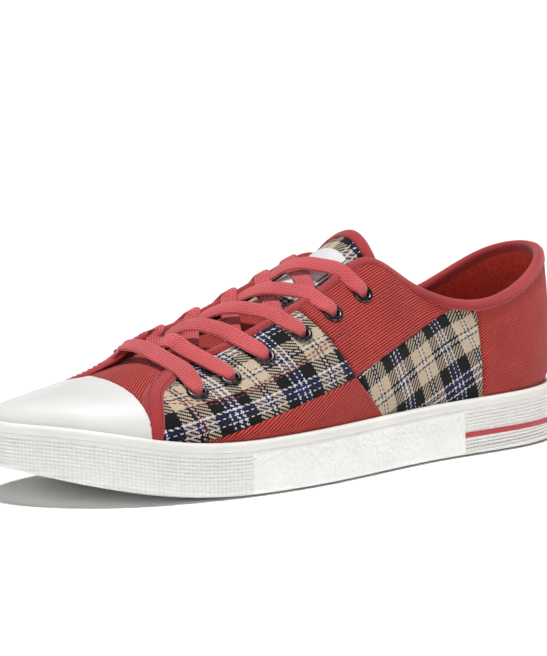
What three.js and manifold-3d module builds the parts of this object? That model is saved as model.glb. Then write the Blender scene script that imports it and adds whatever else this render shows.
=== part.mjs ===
// A left low-top canvas sneaker on a vulcanised rubber sole.
// Millimetres. The toe points along -Y, the heel along +Y, the outer side of the foot along +X and up is +Z.
// The origin is under the middle of the sole, on the plane that the heel and the forefoot stand on.

import * as THREE from 'three';
import { mergeVertices } from 'three/addons/utils/BufferGeometryUtils.js';
import Module from 'manifold-3d';

const wasm = await Module();
wasm.setup();

// ---- Driving dimensions ----

const CLEARANCE = 0.3;         // air between pieces that are glued or sewn together on the real shoe
const WALL = 2.0;              // canvas, lining and glue
const FOXING_THICKNESS = 4.2;
const FOXING_LIFT = 0.8;       // the rubber wall stops this far above the tread
const FOXING_FOREFOOT = 22.4;  // height of the wall's top edge at the ball of the foot
const FOXING_HEEL = 26.1;      // and at the heel
const FOXING_TOE_RISE = 10.2;  // extra height of the top edge at the toe tip
const TOE_SPRING = 13.6;
const SPRING_START = -60;      // forward of here the sole curves up
const TOE_TIP = -146;
const HEEL_BACK = 146;
const OUTSOLE_THICKNESS = 5;
const MIDSOLE_TOE = 7;
const MIDSOLE_HEEL = 10;
const INSOLE_THICKNESS = 4;
const CAP_THICKNESS = 1.4;
const CAP_CLEARANCE = 0.5;     // air between the cap and the canvas
const CAP_LIFT = 0.7;          // its lower edge stands this far over the foxing
const CAP_REAR = -102.7;       // rear edge of the toe cap on the centre line
const CAP_SWEEP = 1.8;         // how much further forward the edge is at the sole
const TONGUE_THICKNESS = 2.4;
const EYELET_FLANGE = 4.6;     // radii
const EYELET_BARREL = 2.9;
const EYELET_BORE = 2.3;
const LACE_WIDTH = 7.4;
const LACE_THICKNESS = 1.5;
const LACE_LIFT = 2.4;          // height of the lace's middle over the tongue's crown
const LACE_OVER_EDGE = 4.8;     // over the edges of the throat
const LACE_OVER_EYELET = 2.8;   // and over the eyelets
const LACE_FLATNESS = 4;        // how long a run stays level before it bends down to its eyelet

const AROUND = 4;              // mesh steps from one section to the next
const UPWARD = 7;              // mesh steps from the sole to the top line

// One row for each section of the last. The sole's edge is at the distance `along` the shoe, `lateral` and
// `medial` across it. The upper ends at topAlong, topHeight and half the opening's width away from its
// centre line. Each wall is one curve: it leaves the sole by `rise` up and `swell` out, and it arrives at
// the top from `reach` out and `drop` below. The medial side differs in a few rows: over the big toe it has
// a lower shoulder, over the instep its edge lies nearer the centre line and higher than the lateral one,
// and below the ankle it is a little lower.
const SECTION_COLUMNS = [
  'along', 'lateral', 'medial', 'topAlong', 'topHeight', 'half', 'rise', 'swell', 'reach', 'drop',
];
const MEDIAL_EDGE = {  // by the number of the row
  1: { rise: 4.5, reach: 9, drop: 4 },
  2: { rise: 8.5, reach: 14, drop: 4.3 },
  3: { reach: 22, drop: 3.2 },
  4: { half: 12, topHeight: 57 },
  5: { half: 13, topHeight: 71.5 },
  6: { half: 17, topHeight: 81.5 },
  9: { topHeight: 64.5 },
  10: { topHeight: 69 },
};
const SECTIONS = [
  [TOE_TIP, -8, -8, -122, 40.5, 0, 6, 1, 10, 1.6],
  [-138, 15.5, -29, -113, 43.2, 0, 7.5, 1.5, 14, 2.6],
  [-116, 37, -45, -96, 46.8, 0, 10.5, 2, 22, 2.0],
  [-86, 49, -52.7, -72, 52, 0, 14, 2, 30, 1.8],
  [-52, 54, -53.7, -62, 53.5, 18.5, 16, 2, 18, 3],
  [-18, 52.5, -49, -25, 67.5, 22, 22, 1, 15, 5],
  [12, 47.5, -41.5, 4, 79, 19, 28, 0.5, 15, 8],
  [36, 43.5, -37.5, 27, 88, 18, 30, 1, 14, 11],
  [60, 41.5, -36, 46, 76.5, 25.5, 22, 1.5, 8, 12],
  [88, 41, -37.5, 74, 67, 31.5, 16, 2, 4, 12],
  [114, 37.5, -35, 104, 71.5, 30, 18, 2.5, 4, 13],
  [136, 25, -22, 130, 83, 20, 22, 2.5, 4, 16],
  [HEEL_BACK, 2, 2, 141, 88, 0, 26, 2.5, 4, 20],
].map((values) => Object.fromEntries(SECTION_COLUMNS.map((name, i) => [name, values[i]])));
const HEEL_STATION = SECTIONS.length - 1;
const STATIONS = 2 * HEEL_STATION;     // the ring goes up the lateral side and back along the medial one
const THROAT_STATION = 3;              // in front of this section the vamp is closed along its ridge

// Centre line of the openings: it bends towards the big toe.
const CENTRE_LINE = [
  { along: TOE_TIP, across: -8 },
  { along: -60, across: -3 },
  { along: 0, across: 0 },
  { along: 60, across: 1.5 },
  { along: HEEL_BACK, across: 2 },
];

// Eyelets, from the ankle to the toe: the place along the ring of sections, and the share of the wall's
// height.
const EYELETS = [
  { station: 6.35, share: 0.74 },
  { station: 5.63, share: 0.74 },
  { station: 5.01, share: 0.71 },
  { station: 4.45, share: 0.68 },
  { station: 3.85, share: 0.61 },
  { station: 3.15, share: 0.48 },
];

// Tongue: height of its crown, half its width, and how far its edges lie below the crown.
const TONGUE = [
  { along: -86, crown: 44.8, half: 13, drop: 2.5 },
  { along: -72, crown: 48.6, half: 16, drop: 3.5 },
  { along: -60, crown: 52.6, half: 22, drop: 6 },
  { along: -40, crown: 61.5, half: 25, drop: 8 },
  { along: -18, crown: 71, half: 25, drop: 11 },
  { along: 4, crown: 82, half: 24, drop: 15.5 },
  { along: 20, crown: 90.5, half: 23, drop: 19 },
  { along: 34, crown: 99.5, half: 21, drop: 20.5 },
];

// ---- Small mathematics ----

function interpolate(rows, key, along) {
  const last = rows.length - 1;
  let i = 0;
  while (i < last - 1 && along > rows[i + 1].along) i += 1;
  const span = rows[i + 1].along - rows[i].along;
  const share = THREE.MathUtils.clamp((along - rows[i].along) / span, 0, 1);
  return THREE.MathUtils.lerp(rows[i][key], rows[i + 1][key], share);
}

// A smooth closed curve through its values, one value for each whole step.
function closedCurve(values) {
  const count = values.length;
  let controls = values.slice();
  for (let pass = 0; pass < 60; pass += 1) {
    const before = controls;
    controls = values.map((value, i) =>
      (6 * value - before[(i + count - 1) % count] - before[(i + 1) % count]) / 4);
  }
  return (at) => {
    const i = Math.floor(at);
    const t = at - i;
    const pick = (k) => controls[(((i + k) % count) + count) % count];
    return ((1 - t) ** 3 * pick(-1) + (3 * t ** 3 - 6 * t * t + 4) * pick(0)
      + (-3 * t ** 3 + 3 * t * t + 3 * t + 1) * pick(1) + t ** 3 * pick(2)) / 6;
  };
}

// ---- The last: sole edge, top line and wall ----

const lateralSide = SECTIONS;
const medialRows = SECTIONS.map((row, i) => ({ ...row, ...MEDIAL_EDGE[i] }));
const medialSide = medialRows.slice(1, -1).reverse();
const around = (lateralKey, medialKey, sign = 1) => closedCurve([
  ...lateralSide.map((row) => row[lateralKey]),
  ...medialSide.map((row) => sign * row[medialKey]),
]);
const edgeAcross = around('lateral', 'medial');
const edgeAlong = around('along', 'along');
const rise = around('rise', 'rise');
const swell = around('swell', 'swell');
const reach = around('reach', 'reach');
const drop = around('drop', 'drop');

const openRows = SECTIONS.slice(THROAT_STATION);
const openBack = medialRows.slice(THROAT_STATION + 1, -1).reverse();
const opening = (key, sign) => closedCurve([
  ...openRows.map((row) => row[key]),
  ...openBack.map((row) => sign * row[key]),
]);
const openingHalf = opening('half', -1);
const openingAlong = opening('topAlong', 1);
const openingHeight = opening('topHeight', 1);

// The ridge is mirrored about both of its ends, so that it runs smoothly over the toe tip.
function ridgeCurve(key) {
  const rows = SECTIONS.slice(0, THROAT_STATION + 1).map((row) => row[key]);
  const end = rows[THROAT_STATION];
  const beyond = rows.slice(0, -1).reverse().map((value) => 2 * end - value);
  const forward = [...rows, ...beyond.slice(0, 2)];
  return closedCurve([...forward, beyond[0], ...rows.slice(1).reverse()]);
}
const ridgeAlong = ridgeCurve('topAlong');
const ridgeHeight = ridgeCurve('topHeight');

function soleEdge(station, inset) {
  const step = 0.01;
  const alongStep = edgeAlong(station + step) - edgeAlong(station - step);
  const acrossStep = edgeAcross(station + step) - edgeAcross(station - step);
  const length = Math.hypot(alongStep, acrossStep);
  const out = new THREE.Vector3(alongStep / length, -acrossStep / length, 0);
  const edge = new THREE.Vector3(edgeAcross(station), edgeAlong(station), 0);
  return { point: edge.clone().addScaledVector(out, -inset), out, along: edge.y };
}

const toeShare = (along) => THREE.MathUtils.clamp((SPRING_START - along) / (SPRING_START - TOE_TIP), 0, 1);
const groundHeight = (along) => TOE_SPRING * toeShare(along) ** 2;
const bandShare = (along) => THREE.MathUtils.smoothstep(toeShare(along), 0, 1) ** 1.5;
const heelShare = (along) => THREE.MathUtils.clamp((along + 60) / 200, 0, 1);
const foxingTop = (along) => FOXING_FOREFOOT + (FOXING_HEEL - FOXING_FOREFOOT) * heelShare(along)
  + FOXING_TOE_RISE * bandShare(along);
const midsoleTop = (along) => groundHeight(along) + OUTSOLE_THICKNESS + CLEARANCE
  + THREE.MathUtils.lerp(MIDSOLE_TOE, MIDSOLE_HEEL, heelShare(along));

function topLine(station) {
  const fromToe = Math.min(station, STATIONS - station);
  if (fromToe < THROAT_STATION) {
    const along = ridgeAlong(fromToe);
    return new THREE.Vector3(interpolate(CENTRE_LINE, 'across', along), along, ridgeHeight(fromToe));
  }
  const at = station - THROAT_STATION;
  const along = openingAlong(at);
  const across = interpolate(CENTRE_LINE, 'across', along) + openingHalf(at);
  return new THREE.Vector3(across, along, openingHeight(at));
}

// The outer face of the upper: share 0 is at the top edge of the foxing, share 1 at the top line.
function wallPoint(station, share) {
  const { point, out, along } = soleEdge(station, FOXING_THICKNESS + CLEARANCE);
  const foot = new THREE.Vector3(point.x, point.y, foxingTop(along));
  const top = topLine(station);
  const leave = foot.clone().addScaledVector(out, swell(station));
  leave.z += rise(station);
  const outward = new THREE.Vector3(foot.x - top.x, foot.y - top.y, 0).normalize();
  const arrive = top.clone().addScaledVector(outward, reach(station));
  arrive.z -= drop(station);
  return new THREE.CubicBezierCurve3(foot, leave, arrive, top).getPoint(share);
}

function wallNormal(station, share) {
  const step = 0.02;
  const aroundStep = wallPoint(station + step, share).sub(wallPoint(station - step, share));
  const upStep = wallPoint(station, share + step).sub(wallPoint(station, share - step));
  return aroundStep.cross(upStep).normalize();
}

// ---- Mesh helpers ----

function buildGeometry(points, triangles) {
  const geometry = new THREE.BufferGeometry();
  const flat = points.flatMap((point) => [point.x, point.y, point.z]);
  geometry.setAttribute('position', new THREE.Float32BufferAttribute(flat, 3));
  geometry.setIndex(triangles.flat());
  const merged = mergeVertices(geometry, 1e-4);
  const index = merged.getIndex();
  const kept = [];
  for (let i = 0; i < index.count; i += 3) {
    const corners = [index.getX(i), index.getX(i + 1), index.getX(i + 2)];
    if (new Set(corners).size === 3) kept.push(...corners);
  }
  merged.setIndex(kept);
  return merged;
}

function toSolid(source) {
  const bare = new THREE.BufferGeometry();
  bare.setAttribute('position', source.getAttribute('position').clone());
  if (source.getIndex()) bare.setIndex(source.getIndex().clone());
  const geometry = mergeVertices(bare, 1e-4);
  return new wasm.Manifold(new wasm.Mesh({
    numProp: 3,
    vertProperties: new Float32Array(geometry.getAttribute('position').array),
    triVerts: new Uint32Array(geometry.getIndex().array),
  }));
}

function fromSolid(solid) {
  const mesh = solid.getMesh();
  const geometry = new THREE.BufferGeometry();
  geometry.setAttribute('position', new THREE.BufferAttribute(new Float32Array(mesh.vertProperties), 3));
  geometry.setIndex(new THREE.BufferAttribute(new Uint32Array(mesh.triVerts), 1));
  return geometry;
}

// Two triangles for one step between two neighbouring rows of points.
const quad = (a, b, c, d) => [[a, b, c], [a, c, d]];

// A closed body: rings of equal length, bottom first, closed by strips across the first and last ring.
function stackRings(rings) {
  const count = rings[0].length;
  const points = rings.flat();
  const triangles = [];
  for (let ring = 0; ring < rings.length - 1; ring += 1) {
    for (let i = 0; i < count; i += 1) {
      const a = ring * count + i;
      const b = ring * count + ((i + 1) % count);
      triangles.push(...quad(a, b, b + count, a + count));
    }
  }
  const lastRing = (rings.length - 1) * count;
  for (let i = 0; i < count / 2; i += 1) {
    const mirror = (count - i) % count;
    triangles.push(...quad(i, mirror, count - i - 1, i + 1));
    triangles.push(...quad(lastRing + i, lastRing + i + 1, lastRing + count - i - 1, lastRing + mirror));
  }
  return buildGeometry(points, triangles);
}

const stations = Array.from({ length: STATIONS * AROUND }, (_, i) => i / AROUND);

function soleRing(inset, height) {
  return stations.map((station) => {
    const { point, along } = soleEdge(station, inset);
    return point.setZ(height(along));
  });
}

const bodyInset = FOXING_THICKNESS + CLEARANCE;

function slab(inset, bottom, top) {
  return stackRings([soleRing(inset, bottom), soleRing(inset, top)]);
}

// ---- The pieces ----

function outsole() {
  return slab(bodyInset, groundHeight, (along) => groundHeight(along) + OUTSOLE_THICKNESS);
}

function midsole() {
  return slab(bodyInset, (along) => groundHeight(along) + OUTSOLE_THICKNESS + CLEARANCE, midsoleTop);
}

function insole() {
  const inset = bodyInset + WALL + CLEARANCE;
  const bottom = (along) => midsoleTop(along) + CLEARANCE;
  return slab(inset, bottom, (along) => bottom(along) + INSOLE_THICKNESS);
}

function foxing() {
  const bottom = (along) => groundHeight(along) + FOXING_LIFT;
  const softened = 0.8;
  const rings = [
    soleRing(softened, bottom),
    soleRing(0, (along) => bottom(along) + softened),
    soleRing(0, (along) => foxingTop(along) - softened),
    soleRing(softened, foxingTop),
    soleRing(FOXING_THICKNESS, foxingTop),
    soleRing(FOXING_THICKNESS, bottom),
  ];
  const count = stations.length;
  const triangles = [];
  rings.forEach((_, ring) => {
    const next = (ring + 1) % rings.length;
    for (let i = 0; i < count; i += 1) {
      const j = (i + 1) % count;
      triangles.push(...quad(ring * count + i, ring * count + j, next * count + j, next * count + i));
    }
  });
  return buildGeometry(rings.flat(), triangles);
}

const isClosedStep = (i) => {
  const fromToe = Math.min(i, stations.length - 1 - i) / AROUND;
  return fromToe < THROAT_STATION;
};

// Rows of the upper's outer face, with the stretch behind the foxing first.
function outerRows() {
  const base = stations.map((station) => {
    const { point, along } = soleEdge(station, bodyInset);
    return point.setZ(midsoleTop(along) + CLEARANCE);
  });
  const walls = Array.from({ length: UPWARD + 1 }, (_, row) =>
    stations.map((station) => wallPoint(station, row / UPWARD)));
  return [base, ...walls];
}

// The same rows moved along the face's own normals. Normals are averaged where the ridge joins the sides.
function offsetRows(rows, distance) {
  const count = stations.length;
  const key = (point) => [point.x, point.y, point.z].map((value) => value.toFixed(3)).join();
  const sums = new Map();
  const add = (corner, normal) => {
    const name = key(corner);
    if (!sums.has(name)) sums.set(name, new THREE.Vector3());
    sums.get(name).add(normal);
  };
  for (let row = 0; row < rows.length - 1; row += 1) {
    for (let i = 0; i < count; i += 1) {
      const j = (i + 1) % count;
      const corners = [rows[row][i], rows[row][j], rows[row + 1][j], rows[row + 1][i]];
      const diagonal = corners[2].clone().sub(corners[0]);
      const other = corners[3].clone().sub(corners[1]);
      const normal = diagonal.cross(other);
      corners.forEach((corner) => add(corner, normal));
    }
  }
  return rows.map((row) => row.map((point) =>
    point.clone().addScaledVector(sums.get(key(point)).clone().normalize(), distance)));
}

function upperShell() {
  const outer = outerRows();
  const inner = offsetRows(outer, -WALL);
  inner[0].forEach((point, i) => {
    point.z = outer[0][i].z;
  });
  const count = stations.length;
  const height = outer.length;
  const points = [...outer.flat(), ...inner.flat()];
  const innerStart = height * count;
  const triangles = [];
  for (let i = 0; i < count; i += 1) {
    const j = (i + 1) % count;
    for (let row = 0; row < height - 1; row += 1) {
      const a = row * count + i;
      const b = row * count + j;
      triangles.push(...quad(a, b, b + count, a + count));
      const c = innerStart + a;
      const d = innerStart + b;
      triangles.push(...quad(d, c, c + count, d + count));
    }
    triangles.push(...quad(j, i, innerStart + i, innerStart + j));
    if (!isClosedStep(i)) {
      const a = (height - 1) * count + i;
      const b = (height - 1) * count + j;
      triangles.push(...quad(a, b, innerStart + b, innerStart + a));
    }
  }
  return buildGeometry(points, triangles);
}

const eyeletPlaces = ['lateral', 'medial'].flatMap((side) => EYELETS.map((eyelet, i) => {
  const station = side === 'lateral' ? eyelet.station : STATIONS - eyelet.station;
  const normal = wallNormal(station, eyelet.share);
  return { name: `eyelet_${side}_${i + 1}`, point: wallPoint(station, eyelet.share), normal };
}));

function placeOnWall(geometry, place) {
  const turn = new THREE.Quaternion().setFromUnitVectors(new THREE.Vector3(0, 1, 0), place.normal);
  return geometry.applyQuaternion(turn).translate(place.point.x, place.point.y, place.point.z);
}

function upper() {
  let solid = toSolid(upperShell());
  const sides = 12;
  for (const place of eyeletPlaces) {
    const radius = EYELET_BARREL + CLEARANCE;
    const drill = new THREE.CylinderGeometry(radius, radius, 5 * WALL, sides);
    solid = solid.subtract(toSolid(placeOnWall(drill, place)));
  }
  return fromSolid(solid);
}

function eyelet(place) {
  const flangeBottom = 0.45;
  const flangeTop = 1.15;
  const profile = [
    [EYELET_BORE, -WALL],
    [EYELET_BARREL, -WALL],
    [EYELET_BARREL, flangeBottom],
    [EYELET_FLANGE, flangeBottom],
    [(EYELET_FLANGE + EYELET_BARREL) / 2, flangeTop],
    [EYELET_BORE, flangeBottom],
    [EYELET_BORE, -WALL],
  ].map(([radius, height]) => new THREE.Vector2(radius, height));
  return placeOnWall(new THREE.LatheGeometry(profile, 12), place);
}

// The cap is what lies between two larger forms of the upper, in front of its rear edge.
const TALLER_THAN_CAP = 90;
function toeCap() {
  const walls = outerRows().slice(1);
  const grown = (distance, lift) => {
    const rows = offsetRows(walls, distance);
    rows[0].forEach((point, i) => {
      point.z = walls[0][i].z + lift;
    });
    return toSolid(stackRings(rows));
  };
  const wellBelow = -3;
  const band = grown(CAP_CLEARANCE + CAP_THICKNESS, CAP_LIFT).subtract(grown(CAP_CLEARANCE, wellBelow));
  const halfWidth = 43;
  const rear = Array.from({ length: 13 }, (_, i) => {
    const share = (i - 6) / 4;
    return new THREE.Vector2(-5 + share * halfWidth, CAP_REAR - CAP_SWEEP * share * share);
  });
  const outline = new THREE.Shape([
    ...rear,
    new THREE.Vector2(rear[12].x, TOE_TIP - 20),
    new THREE.Vector2(rear[0].x, TOE_TIP - 20),
  ]);
  const block = new THREE.ExtrudeGeometry(outline, { depth: TALLER_THAN_CAP, bevelEnabled: false });
  return fromSolid(band.intersect(toSolid(block)));
}

// A bent sheet: rows of points over its top, and the same rows again below.
function sheet(topRows, bottomRows) {
  const across = topRows[0].length;
  const rows = topRows.length;
  const points = [...topRows.flat(), ...bottomRows.flat()];
  const below = across * rows;
  const triangles = [];
  for (let row = 0; row < rows - 1; row += 1) {
    for (let i = 0; i < across - 1; i += 1) {
      const a = row * across + i;
      triangles.push(...quad(a, a + 1, a + across + 1, a + across));
      const b = below + a;
      triangles.push(...quad(b + 1, b, b + across, b + across + 1));
    }
    const left = row * across;
    const right = left + across - 1;
    triangles.push(...quad(left + across, below + left + across, below + left, left));
    triangles.push(...quad(right, below + right, below + right + across, right + across));
  }
  const last = (rows - 1) * across;
  for (let i = 0; i < across - 1; i += 1) {
    triangles.push(...quad(i, below + i, below + i + 1, i + 1));
    triangles.push(...quad(last + i + 1, below + last + i + 1, below + last + i, last + i));
  }
  return buildGeometry(points, triangles);
}

const smoothTongue = (key) => {
  const curve = new THREE.CatmullRomCurve3(TONGUE.map((row) => new THREE.Vector3(0, row.along, row[key])));
  return curve.getPoints(2 * (TONGUE.length - 1));
};

function tongue() {
  const crowns = smoothTongue('crown');
  const topRows = [];
  const bottomRows = [];
  for (const crown of crowns) {
    const half = interpolate(TONGUE, 'half', crown.y);
    const fall = interpolate(TONGUE, 'drop', crown.y);
    const centre = interpolate(CENTRE_LINE, 'across', crown.y);
    const shares = Array.from({ length: 9 }, (_, i) => (i - 4) / 4);
    const row = (lower) => shares.map((share) =>
      new THREE.Vector3(centre + share * half, crown.y, crown.z - fall * share * share - lower));
    topRows.push(row(0));
    bottomRows.push(row(TONGUE_THICKNESS));
  }
  return sheet(topRows, bottomRows);
}

// One row for each pair of eyelets, from the toe to the ankle: where the lace crosses the centre line, and
// its heights over the two edges of the throat and at the two eyelets.
const laceRows = EYELETS.map((eyelet) => {
  const places = {
    lateral: wallPoint(eyelet.station, eyelet.share),
    medial: wallPoint(STATIONS - eyelet.station, eyelet.share),
  };
  const along = (places.lateral.y + places.medial.y) / 2;
  const overTongue = interpolate(TONGUE, 'crown', along) + LACE_LIFT;
  const crown = (side) => {
    const ring = stations.filter((station) => station > 0 && station < HEEL_STATION);
    const edge = ring.map((station) => topLine(side === 'lateral' ? station : STATIONS - station));
    const ahead = edge.filter((point) => point.y < along);
    return Math.max(overTongue, ahead[ahead.length - 1].z + LACE_OVER_EDGE);
  };
  return {
    along,
    centre: (places.lateral.x + places.medial.x) / 2,
    half: (places.lateral.x - places.medial.x) / 2,
    lateralTip: places.lateral.z,
    medialTip: places.medial.z,
    lateralCrown: crown('lateral'),
    medialCrown: crown('medial'),
  };
}).reverse();

function laceHeight(across, along) {
  const row = (key) => interpolate(laceRows, key, along);
  const offset = (across - row('centre')) / row('half');
  const crown = THREE.MathUtils.lerp(row('medialCrown'), row('lateralCrown'), (offset + 1) / 2);
  const tip = row(offset > 0 ? 'lateralTip' : 'medialTip') + LACE_OVER_EYELET;
  return crown - (crown - tip) * Math.abs(offset) ** LACE_FLATNESS;
}

function laceBand(from, to, lift) {
  const steps = 9;
  const start = new THREE.Vector2(...from);
  const end = new THREE.Vector2(...to);
  const direction = end.clone().sub(start).normalize();
  const sideways = new THREE.Vector2(-direction.y, direction.x);
  const row = (step, lower) => [1, -1].map((side) => {
    const share = step / steps;
    const spot = start.clone().lerp(end, share).addScaledVector(sideways, side * LACE_WIDTH / 2);
    const height = laceHeight(spot.x, spot.y) + lift * 4 * share * (1 - share) - lower;
    return new THREE.Vector3(spot.x, spot.y, height);
  });
  const all = Array.from({ length: steps + 1 }, (_, step) => step);
  return sheet(
    all.map((step) => row(step, -LACE_THICKNESS / 2)),
    all.map((step) => row(step, LACE_THICKNESS / 2)),
  );
}

// A straight bar over the first pair of eyelets, then a crossing up to each next pair. Each run comes out
// from under one edge of the throat and ends at the other side's eyelet.
function lace() {
  const shortOfEyelet = 6.2;
  const insideEdge = 20;
  const hiddenEnd = 5;
  const spot = (rowNumber, side, distance) => {
    const row = laceRows[rowNumber];
    return [row.centre + side * distance, row.along];
  };
  const first = laceRows[0].half - shortOfEyelet;
  let solid = toSolid(laceBand(spot(0, -1, first), spot(0, 1, first), 0));
  for (let i = 1; i < laceRows.length; i += 1) {
    for (const side of [-1, 1]) {
      const reachOut = laceRows[i].half - shortOfEyelet;
      const under = Math.min(insideEdge, laceRows[i - 1].half - shortOfEyelet - hiddenEnd);
      const run = laceBand(spot(i - 1, -side, under), spot(i, side, reachOut), side > 0 ? 0.6 : 0);
      solid = solid.add(toSolid(run));
    }
  }
  return fromSolid(solid);
}

// ---- Assembly ----

const finishes = {
  rubber: { color: 0xeeede9, roughness: 0.6, metalness: 0 },
  canvas: { color: 0xb83a3f, roughness: 0.9, metalness: 0 },
  lace: { color: 0xd05a5c, roughness: 0.9, metalness: 0 },
  board: { color: 0xd9cfbd, roughness: 0.9, metalness: 0 },
  lining: { color: 0x8a2222, roughness: 0.9, metalness: 0 },
  gunmetal: { color: 0x4a4a4e, roughness: 0.3, metalness: 1 },
};
const materials = Object.fromEntries(Object.entries(finishes).map(([name, look]) =>
  [name, new THREE.MeshStandardMaterial(look)]));

const shoe = new THREE.Group();
function addPiece(name, geometry, finish) {
  const mesh = new THREE.Mesh(geometry, materials[finish]);
  mesh.name = name;
  shoe.add(mesh);
}

addPiece('outsole', outsole(), 'rubber');
addPiece('midsole', midsole(), 'board');
addPiece('foxing', foxing(), 'rubber');
addPiece('upper', upper(), 'canvas');
addPiece('toe_cap', toeCap(), 'rubber');
addPiece('insole', insole(), 'lining');
addPiece('tongue', tongue(), 'canvas');
addPiece('lace', lace(), 'lace');
for (const place of eyeletPlaces) addPiece(place.name, eyelet(place), 'gunmetal');

export default shoe;
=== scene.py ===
# %% [markdown]
# # A low laced canvas sneaker, left shoe
# A vulcanised shoe is built from the last outwards: a canvas upper is pulled over a foot form, a
# rubber band (the foxing) is wrapped round its foot, and a rubber cap covers the toe. The rigid model
# comes in as a fixed frame, and each cell below adds one real part of the shoe in front of it.

# %% Load the frame
import math

import bmesh
import bpy
import numpy as np
from mathutils import Matrix, Vector


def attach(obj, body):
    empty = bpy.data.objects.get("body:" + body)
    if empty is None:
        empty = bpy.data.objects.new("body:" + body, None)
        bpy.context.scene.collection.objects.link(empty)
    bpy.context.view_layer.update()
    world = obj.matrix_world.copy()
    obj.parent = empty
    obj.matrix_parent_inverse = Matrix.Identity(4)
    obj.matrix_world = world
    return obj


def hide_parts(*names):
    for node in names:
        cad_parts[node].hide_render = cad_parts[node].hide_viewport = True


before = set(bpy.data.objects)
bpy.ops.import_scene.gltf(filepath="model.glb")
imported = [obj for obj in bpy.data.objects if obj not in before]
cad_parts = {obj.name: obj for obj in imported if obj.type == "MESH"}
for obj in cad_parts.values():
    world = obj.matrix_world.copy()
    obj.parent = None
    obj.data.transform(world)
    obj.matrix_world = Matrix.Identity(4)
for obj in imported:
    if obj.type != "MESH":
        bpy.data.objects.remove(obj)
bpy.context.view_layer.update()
MM = 0.001

# %% [markdown]
# ## Camera, floor and light
# The camera comes first, because every shape is judged through it. It stands in front of the toe on
# the outer side, a little above the shoe, with a long lens. A very large pale floor and an even white
# sky give the soft light of a product table, and two big soft lamps add a gentle direction.


# %% Camera
def place_camera(place, azimuth, elevation, roll, lens):
    """A camera at a place in millimetres, turned by its three angles in degrees."""
    turn, lift, lean = (math.radians(angle) for angle in (azimuth, elevation, roll))
    back = np.array([math.sin(turn) * math.cos(lift), -math.cos(turn) * math.cos(lift), math.sin(lift)])
    right = np.array([math.cos(turn), math.sin(turn), 0])
    up = np.cross(back, right)
    across = right * math.cos(lean) + up * math.sin(lean)
    upward = -right * math.sin(lean) + up * math.cos(lean)
    data = bpy.data.cameras.new("camera")
    data.lens = lens
    data.sensor_width = 36
    data.clip_start = 0.05
    data.clip_end = 200
    camera = bpy.data.objects.new("camera", data)
    turned = Matrix([across, upward, back]).transposed().to_4x4()
    camera.matrix_world = Matrix.Translation([number * MM for number in place]) @ turned
    bpy.context.scene.collection.objects.link(camera)
    return camera


bpy.context.scene.camera = place_camera((789.82, -653.17, 173.84), 50.83, 6.39, -0.76, 130.96)
bpy.context.scene.view_settings.view_transform = "Standard"
print("camera", bpy.context.scene.camera.location)


# %% Small helpers for nodes and colours
def linear(code):
    """An sRGB hex colour as linear numbers, with full opacity."""
    parts = [int(code[i : i + 2], 16) / 255 for i in (1, 3, 5)]
    return [p / 12.92 if p <= 0.04045 else ((p + 0.055) / 1.055) ** 2.4 for p in parts] + [1.0]


def add(tree, kind, links=None, inputs=None, **settings):
    """Adds a node: its settings, its input values by name or number, and its incoming links."""
    node = tree.nodes.new(kind)
    for name, value in settings.items():
        setattr(node, name, value)
    for key, value in (inputs or {}).items():
        node.inputs[key].default_value = value
    for key, source in (links or {}).items():
        tree.links.new(source, node.inputs[key])
    return node


def new_material(name, **values):
    """A material with a bare principled shader whose constant sockets are set."""
    material = bpy.data.materials.new(name)
    material.use_nodes = True
    tree = material.node_tree
    shader = tree.nodes["Principled BSDF"]
    for key, value in values.items():
        shader.inputs[key.replace("_", " ")].default_value = value
    return material, tree, shader


def fill_ramp(node, stops, interpolation="LINEAR"):
    """Sets a Color Ramp's stops from (position, colour) pairs, and hands the node back."""
    ramp = node.color_ramp
    ramp.interpolation = interpolation
    while len(ramp.elements) > 1:
        ramp.elements.remove(ramp.elements[-1])
    ramp.elements[0].position = stops[0][0]
    ramp.elements[0].color = linear(stops[0][1])
    for position, colour in stops[1:]:
        ramp.elements.new(position).color = linear(colour)
    return node


# %% Floor and light
def staged(name, points, faces, material):
    """A piece of the studio, which isn't part of the shoe."""
    mesh = bpy.data.meshes.new(name)
    mesh.from_pydata(points, [], faces)
    mesh.materials.append(material)
    item = bpy.data.objects.new(name, mesh)
    bpy.context.scene.collection.objects.link(item)


def paper(name, glow=0.0):
    """White paper with a faint tooth; the far backdrop glows a little, so that it stays white."""
    material, tree, shader = new_material(name, Roughness=0.9, Specular_IOR_Level=0.2)
    speck = add(tree, "ShaderNodeTexNoise", inputs={"Scale": 900.0, "Detail": 2.0})
    tone = add(tree, "ShaderNodeValToRGB", {0: speck.outputs[0]})
    fill_ramp(tone, [(0.3, "#FBFBFA"), (0.7, "#FFFFFF")])
    tree.links.new(tone.outputs[0], shader.inputs["Base Color"])
    shader.inputs["Emission Color"].default_value = (1, 1, 1, 1)
    shader.inputs["Emission Strength"].default_value = glow
    return material


FLOOR_RADIUS, BACKDROP_HEIGHT, SIDES = 12.0, 3.0, 64
turns = [2 * math.pi * i / SIDES for i in range(SIDES)]
ring = [(FLOOR_RADIUS * math.cos(a), FLOOR_RADIUS * math.sin(a), 0) for a in turns]
high = [(x, y, BACKDROP_HEIGHT) for x, y, _ in ring]
wall_faces = [(i, (i + 1) % SIDES, (i + 1) % SIDES + SIDES, i + SIDES) for i in range(SIDES)]
staged("floor", ring, [list(range(SIDES))], paper("matt white table paper"))
staged("backdrop", ring + high, wall_faces, paper("matt white backdrop paper", 0.75))

SKY = 0.07
world = bpy.data.worlds.new("even white sky")
bpy.context.scene.world = world
world.use_nodes = True
background = world.node_tree.nodes["Background"]
background.inputs["Color"].default_value = (1, 1, 1, 1)
background.inputs["Strength"].default_value = SKY


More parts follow.
